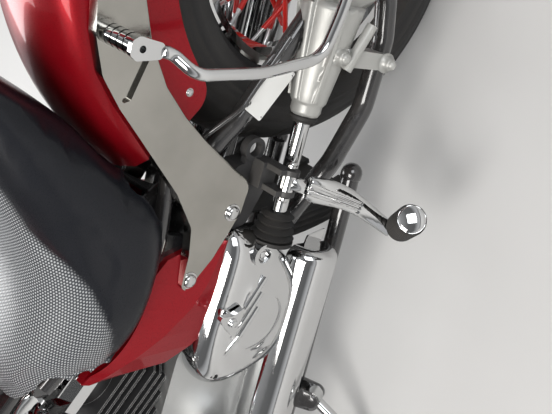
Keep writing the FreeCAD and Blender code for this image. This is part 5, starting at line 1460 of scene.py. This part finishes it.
@dataclass(frozen=True)
class Dial:
    """Round speed dial on the console, and the ridged filler cap."""

    at: Triple = (949.1, 0.0, 933.8)
    lean_deg: float = 8.0
    cap_at: Triple = (836.7, 0.0, 889.2)
    cap_lean_deg: float = 20.0
    marks: int = 41
    sweep_deg: float = 270.0
    numbers: int = 9
    number_step: int = 20
    number_size: float = 6.6
    number_reach: float = 23.5
    mark_reach: float = 36.5
    long_mark_every: int = 5
    needle: float = 14.0
    ridges: int = 30
    ridge_reach: float = 27.2

    @staticmethod
    def leaning(at: Triple, lean_deg: float) -> Matrix:
        """The place at a point on a face that leans back towards the rider."""
        k = math.radians(lean_deg)
        return Matrix.Translation(Vector(at)) @ Matrix.Rotation(-k, 4, "Y")

    def spoke(self, share: float, reach: float) -> Matrix:
        """The place on the dial at a share of its sweep, turned to look outwards."""
        a = math.radians(180.0 + self.sweep_deg / 2 - self.sweep_deg * share)
        return self.leaning(self.at, self.lean_deg) @ Matrix.Rotation(a, 4, "Z") @ \
            Matrix.Translation((-reach, 0, 0))

    def figures(self) -> None:
        """Plain numbers round the dial."""
        shape = Shape()
        for n in range(self.numbers):
            text = bpy.data.curves.new("figure", "FONT")
            text.body, text.size = str(n * self.number_step), self.number_size
            text.align_x, text.align_y = "CENTER", "CENTER"
            text.extrude = 0.1
            carrier = linked("figure", text)
            mesh = bpy.data.meshes.new_from_object(
                carrier.evaluated_get(bpy.context.evaluated_depsgraph_get()))
            bpy.data.objects.remove(carrier)
            part = bmesh.new()
            part.from_mesh(mesh)
            spot = self.spoke(n / (self.numbers - 1), self.number_reach).to_translation()
            up = self.leaning((0, 0, 0), self.lean_deg)
            shape.add(part, Matrix.Translation(spot) @ up @ Matrix.Translation((0, 0, 1.1)) @
                      Matrix.Rotation(math.radians(-90), 4, "Z"))
        shape.finish("dial_figures", Body.CHASSIS, LABEL_WHITE)

    def build(self) -> None:
        """Makes the bezel, face, marks, needle, glass and cap."""
        place = self.leaning(self.at, self.lean_deg)
        turned("dial_bezel", Body.CHASSIS, CHROME,
               [(45.4, -5), (46.6, -4), (46.8, 1), (45.5, 4), (42.5, 5.2), (40.5, 4.6),
                (39.5, 3.0), (39.5, 0.2), (44.0, 0.2), (45.2, -1)], place, 64, closed=True)
        turned("dial_face", Body.CHASSIS, PLASTIC, [(0, 0.7), (39.3, 0.7), (39.3, 0.1), (0, 0.1)],
               place, 64)
        shape = Shape()
        for n in range(self.marks):
            long, wide = (5.0, 1.1) if n % self.long_mark_every == 0 else (3.0, 0.6)
            spot = self.spoke(n / (self.marks - 1), self.mark_reach - long / 2)
            shape.slab((long, wide, 0.4), spot @ Matrix.Translation((0, 0, 0.9)), 0.05)
        shape.finish("dial_marks", Body.CHASSIS, LABEL_WHITE)
        shape = Shape()
        shape.slab((34, 1.4, 0.6), self.spoke(0.0, self.needle) @ Matrix.Translation((0, 0, 1.6)),
                   0.1)
        shape.turn([(0, 2.6), (3, 2.4), (3.6, 1.6), (3.6, 0.7), (0, 0.7)], place)
        shape.finish("dial_needle", Body.CHASSIS, RED_LENS)
        turned("dial_glass", Body.CHASSIS, GLASS,
               [(0, 4.4), (20, 4.1), (39.2, 3.2), (39.2, 2.6), (20, 3.5), (0, 3.8)], place, 48)
        self.figures()
        shape, place = Shape(), self.leaning(self.cap_at, self.cap_lean_deg)
        shape.turn([(0, 3.6), (12, 3.2), (20, 1.8), (24, 0.4), (26.0, -0.1), (0, -0.1)], place, 48)
        for n in range(self.ridges):
            turn = Matrix.Rotation(math.tau * n / self.ridges, 4, "Z")
            shape.slab((1.6, 2.4, 11.0),
                       place @ turn @ Matrix.Translation((self.ridge_reach, 0, -7.0)), 0.6)
        shape.finish("filler_cap_trim", Body.CHASSIS, CHROME)


@dataclass(frozen=True)
class Glazing:
    """Mirror glasses, the headlight's dish and glass, amber lenses and the lamps' rims."""

    mirror: Triple = (1013.6, 400.0, 1230.5)
    mirror_size: Triple = (35.5, 57.0, 1.6)
    front: Triple = (1284.0, 205.0, 853.6)
    rear: Triple = (-164.0, 192.0, 672.0)
    head_up: float = 950.0
    head_ahead: float = 178.0

    def head(self) -> None:
        """Makes the headlight's silvered dish, its bulb shield and its thin domed glass."""
        place = facing(on_steering(self.head_up, self.head_ahead, 0.0), (1, 0, 0))
        dish = Shape()
        dish.turn([(83.6, 46.5), (70, 42.4), (50, 39.0), (30, 37.4), (12, 36.8), (12, 36.1),
                   (83.6, 36.1)], place, 64, closed=True)
        dish.turn([(0, 52.0), (7, 51.2), (12, 48.2), (13.5, 44.0), (13.5, 36.4), (0, 36.4)],
                  place, 32)
        dish.finish("headlight_dish", Body.STEERING, MIRROR_SILVER)
        glass = Shape()
        glass.turn([(0, 64.0), (30, 63.0), (60, 58.0), (87, 48.0), (85.6, 46.7), (60, 55.8),
                    (30, 60.8), (0, 61.8)], place, 64)
        glass.finish("headlight_glass", Body.STEERING, GLASS, ["headlight_lens"])

    def build(self) -> None:
        """Makes the glasses and lenses on their bodies."""
        self.head()
        shape, (x, y, z) = Shape(), self.mirror
        for side in (1, -1):
            part = bmesh.new()
            bmesh.ops.create_cone(part, cap_ends=True, segments=64, radius1=1.0, radius2=1.0,
                                  depth=1.0)
            bmesh.ops.scale(part, vec=self.mirror_size, verts=part.verts)
            shape.add(part, facing((x, side * y, z), (-1, 0, 0)))
        shape.finish("mirror_glasses", Body.STEERING, MIRROR_SILVER)
        dome = [(0, 8.6), (9, 8.0), (17, 6.2), (23, 3.6), (26.4, 1.4), (26.4, -0.4), (0, -0.4)]
        rim = [(30.4, -3), (30.8, 0.2), (29.6, 1.8), (27.4, 2.2), (26.6, 1.2), (26.6, -0.2),
               (29.8, -0.2), (30.0, -3)]
        for tag, body, (x, y, z), way in (("front", Body.STEERING, self.front, 1),
                                          ("rear", Body.CHASSIS, self.rear, -1)):
            lens, trim = Shape(), Shape()
            for side in (1, -1):
                place = facing((x, side * y, z), (way, 0, 0))
                lens.turn(dome, place, 40)
                trim.turn(rim, place, 40, closed=True)
            lens.finish(tag + "_amber_lenses", body, AMBER_LENS)
            trim.finish(tag + "_lens_rims", body, CHROME)


@dataclass(frozen=True)
class Tail:
    """Thin pressed plate on the board, blank, below its two bolt holes."""

    middle: Triple = (-418.9, 0.0, 530.9)
    tilt_deg: float = 14.0
    size: Triple = (84.0, 172.0, 1.2)
    off_board: Triple = (-3.6, 0.0, -13.0)
    corner_r: float = 7.0
    rim: float = 3.0
    face_area: float = 4000.0

    def build(self) -> None:
        """Makes the plate with its raised edge."""
        k = math.radians(self.tilt_deg)
        place = Matrix.Translation(Vector(self.middle)) @ Matrix.Rotation(k, 4, "Y") @ \
            Matrix.Translation(self.off_board) @ Matrix.Rotation(math.radians(90), 4, "Y")
        part = bmesh.new()
        bmesh.ops.create_cube(part, size=1.0)
        bmesh.ops.scale(part, vec=self.size, verts=part.verts)
        upright = [e for e in part.edges if abs(e.verts[0].co.z - e.verts[1].co.z) > 1.0]
        bevelled(part, upright, self.corner_r, 5)
        faces = [f for f in part.faces if abs(f.normal.z) > 0.9]
        bmesh.ops.inset_region(part, faces=faces, thickness=self.rim, depth=0.0)
        inner = [f for f in part.faces if abs(f.normal.z) > 0.9 and f.calc_area() > self.face_area]
        bmesh.ops.inset_region(part, faces=inner, thickness=1.2, depth=-0.4)
        shape = Shape()
        shape.add(part, place)
        shape.finish("blank_plate", Body.CHASSIS, LABEL_WHITE)


@dataclass(frozen=True)
class Viewpoint:
    """The camera on the upright machine, in its millimetres, and its roll about the view."""

    eye: Triple = (8.7, 921.8, 1172.4)
    aim: Triple = (396.3, 120.0, 330.7)
    roll_deg: float = -93.45
    focal_px: float = 800.0
    frame_px: float = 552.0

    def place(self) -> bpy.types.Object:
        """Makes the scene's camera.

        Returns:
            The camera object.
        """
        data = bpy.data.cameras.new("camera")
        data.sensor_width = SENSOR_MM
        data.sensor_fit = "HORIZONTAL"
        data.lens = self.focal_px / self.frame_px * SENSOR_MM
        camera = linked("camera", data)
        turn = STANCE.to_3x3().normalized()
        ahead = turn @ (Vector(self.aim) - Vector(self.eye)).normalized()
        level = ahead.cross(turn @ Vector((0, 0, 1))).normalized()
        up = level.cross(ahead)
        roll = math.radians(self.roll_deg)
        right = level * math.cos(roll) + up * math.sin(roll)
        axes = Matrix((right, right.cross(ahead), ahead * -1.0)).transposed()
        camera.matrix_world = Matrix.Translation(STANCE @ Vector(self.eye)) @ axes.to_4x4()
        bpy.context.scene.camera = camera
        return camera


@dataclass(frozen=True)
class Studio:
    """Pale floor, soft lamps and a pale surround that darkens overhead, between the lamps."""

    floor_half: float = 60.0
    floor_colour: Triple = (0.66, 0.655, 0.645)
    floor_patches: Triple = (0.5, 0.495, 0.485)
    middle: Triple = (0.0, 0.0, 0.5)
    lamps: tuple[tuple[str, Triple, float, float, Triple], ...] = (
        ("key", (0.7, 2.2, 3.2), 1.9, 122.0, (1.0, 0.98, 0.95)),
        ("fill", (-2.4, 2.5, 1.7), 1.7, 44.0, (0.95, 0.97, 1.0)),
        ("far", (0.8, -2.9, 2.7), 2.2, 95.0, (1.0, 1.0, 1.0)))
    air_strength: float = 0.72
    air_stops: Rows = ((0.0, 0.86), (0.10, 0.80), (0.30, 0.22), (0.62, 0.24), (0.92, 0.62),
                       (1.0, 0.70))

    def floor(self) -> bpy.types.Object:
        """Makes the floor.

        Returns:
            The floor object.
        """
        mesh = bpy.data.meshes.new("floor")
        shape = bmesh.new()
        bmesh.ops.create_grid(shape, x_segments=1, y_segments=1, size=self.floor_half)
        shape.to_mesh(mesh)
        shape.free()
        mesh.materials.append(Finish("studio_floor", self.floor_colour, self.floor_patches,
                                     rough=(0.6, 0.8), patch_amount=0.12, dust=0.0).build())
        floor = linked("floor", mesh)
        return floor

    def lamp(self, name: str, place: Triple, size: float, watts: float, colour: Triple) -> None:
        """Adds one square soft lamp that faces the machine's middle.

        Args:
            name: the lamp's name.
            place: where it hangs.
            size: its side in metres.
            watts: its power.
            colour: its colour.
        """
        data = bpy.data.lights.new(name, "AREA")
        data.size, data.energy, data.color = size, watts, colour
        way = (Vector(self.middle) - Vector(place)).to_track_quat("-Z", "Y")
        linked(name, data).matrix_world = Matrix.Translation(place) @ way.to_matrix().to_4x4()

    def air(self) -> None:
        """Makes the world, whose shade goes by the height of the direction."""
        world = bpy.data.worlds.new("studio")
        world.use_nodes = True
        shader = ShaderTree(world.node_tree)
        way = shader.node("ShaderNodeTexCoord").outputs["Generated"]
        up = shader.node("ShaderNodeSeparateXYZ", Vector=way)
        ramp = shader.node("ShaderNodeValToRGB", Fac=up.outputs["Z"])
        stops = ramp.color_ramp.elements
        for place, shade in self.air_stops:
            stop = stops.new(place)
            stop.color = (shade, shade * 1.01, shade * 1.03, 1.0)
        for spare in [s for s in stops if s.color[0] in (0.0, 1.0)]:
            stops.remove(spare)
        background = world.node_tree.nodes["Background"]
        shader.put(background.inputs["Color"], ramp.outputs["Color"])
        background.inputs["Strength"].default_value = self.air_strength
        bpy.context.scene.world = world

    def light(self) -> None:
        """Sets the world and the lamps."""
        self.air()
        for lamp in self.lamps:
            self.lamp(*lamp)


SEAT_SEAM = ((240, 862), (262, 838), (290, 812), (330, 788), (367, 765), (395, 743), (418, 726),
             (439, 704), (462, 675), (490, 646), (557, 604), (640, 574), (740, 556))
TYRES = (RoadTyre("rear_tyre", Body.REAR_WHEEL, (0, 0, REAR_AXLE_HIGH), 322, 82, 203, 51),
         RoadTyre("front_tyre", Body.FRONT_WHEEL, (1625, 0, 318), 318, 63, 215, 44))


def main() -> None:
    """Builds the scene in order."""
    logging.basicConfig(level=logging.INFO,
                        format="%(relativeCreated)6.0f ms %(name)s: %(message)s")
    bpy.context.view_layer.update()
    bpy.context.scene.view_settings.view_transform = "Standard"
    dress_nodes()
    Skins().build()
    for tyre in TYRES:
        tyre.build()
    Cushion("seat", 0.85, seam=SEAT_SEAM).build("saddle", SADDLE)
    Cushion("pillion_pad", 0.8).build("pillion_cushion", VINYL)
    HandRubber().build()
    FootRubbers().build()
    PassengerPegs().build()
    Fasteners().build()
    Label().build()
    Dial().build()
    Glazing().build()
    Tail().build()
    studio = Studio()
    studio.floor()
    studio.light()
    Viewpoint().place()


if __name__ == "__main__":
    main()
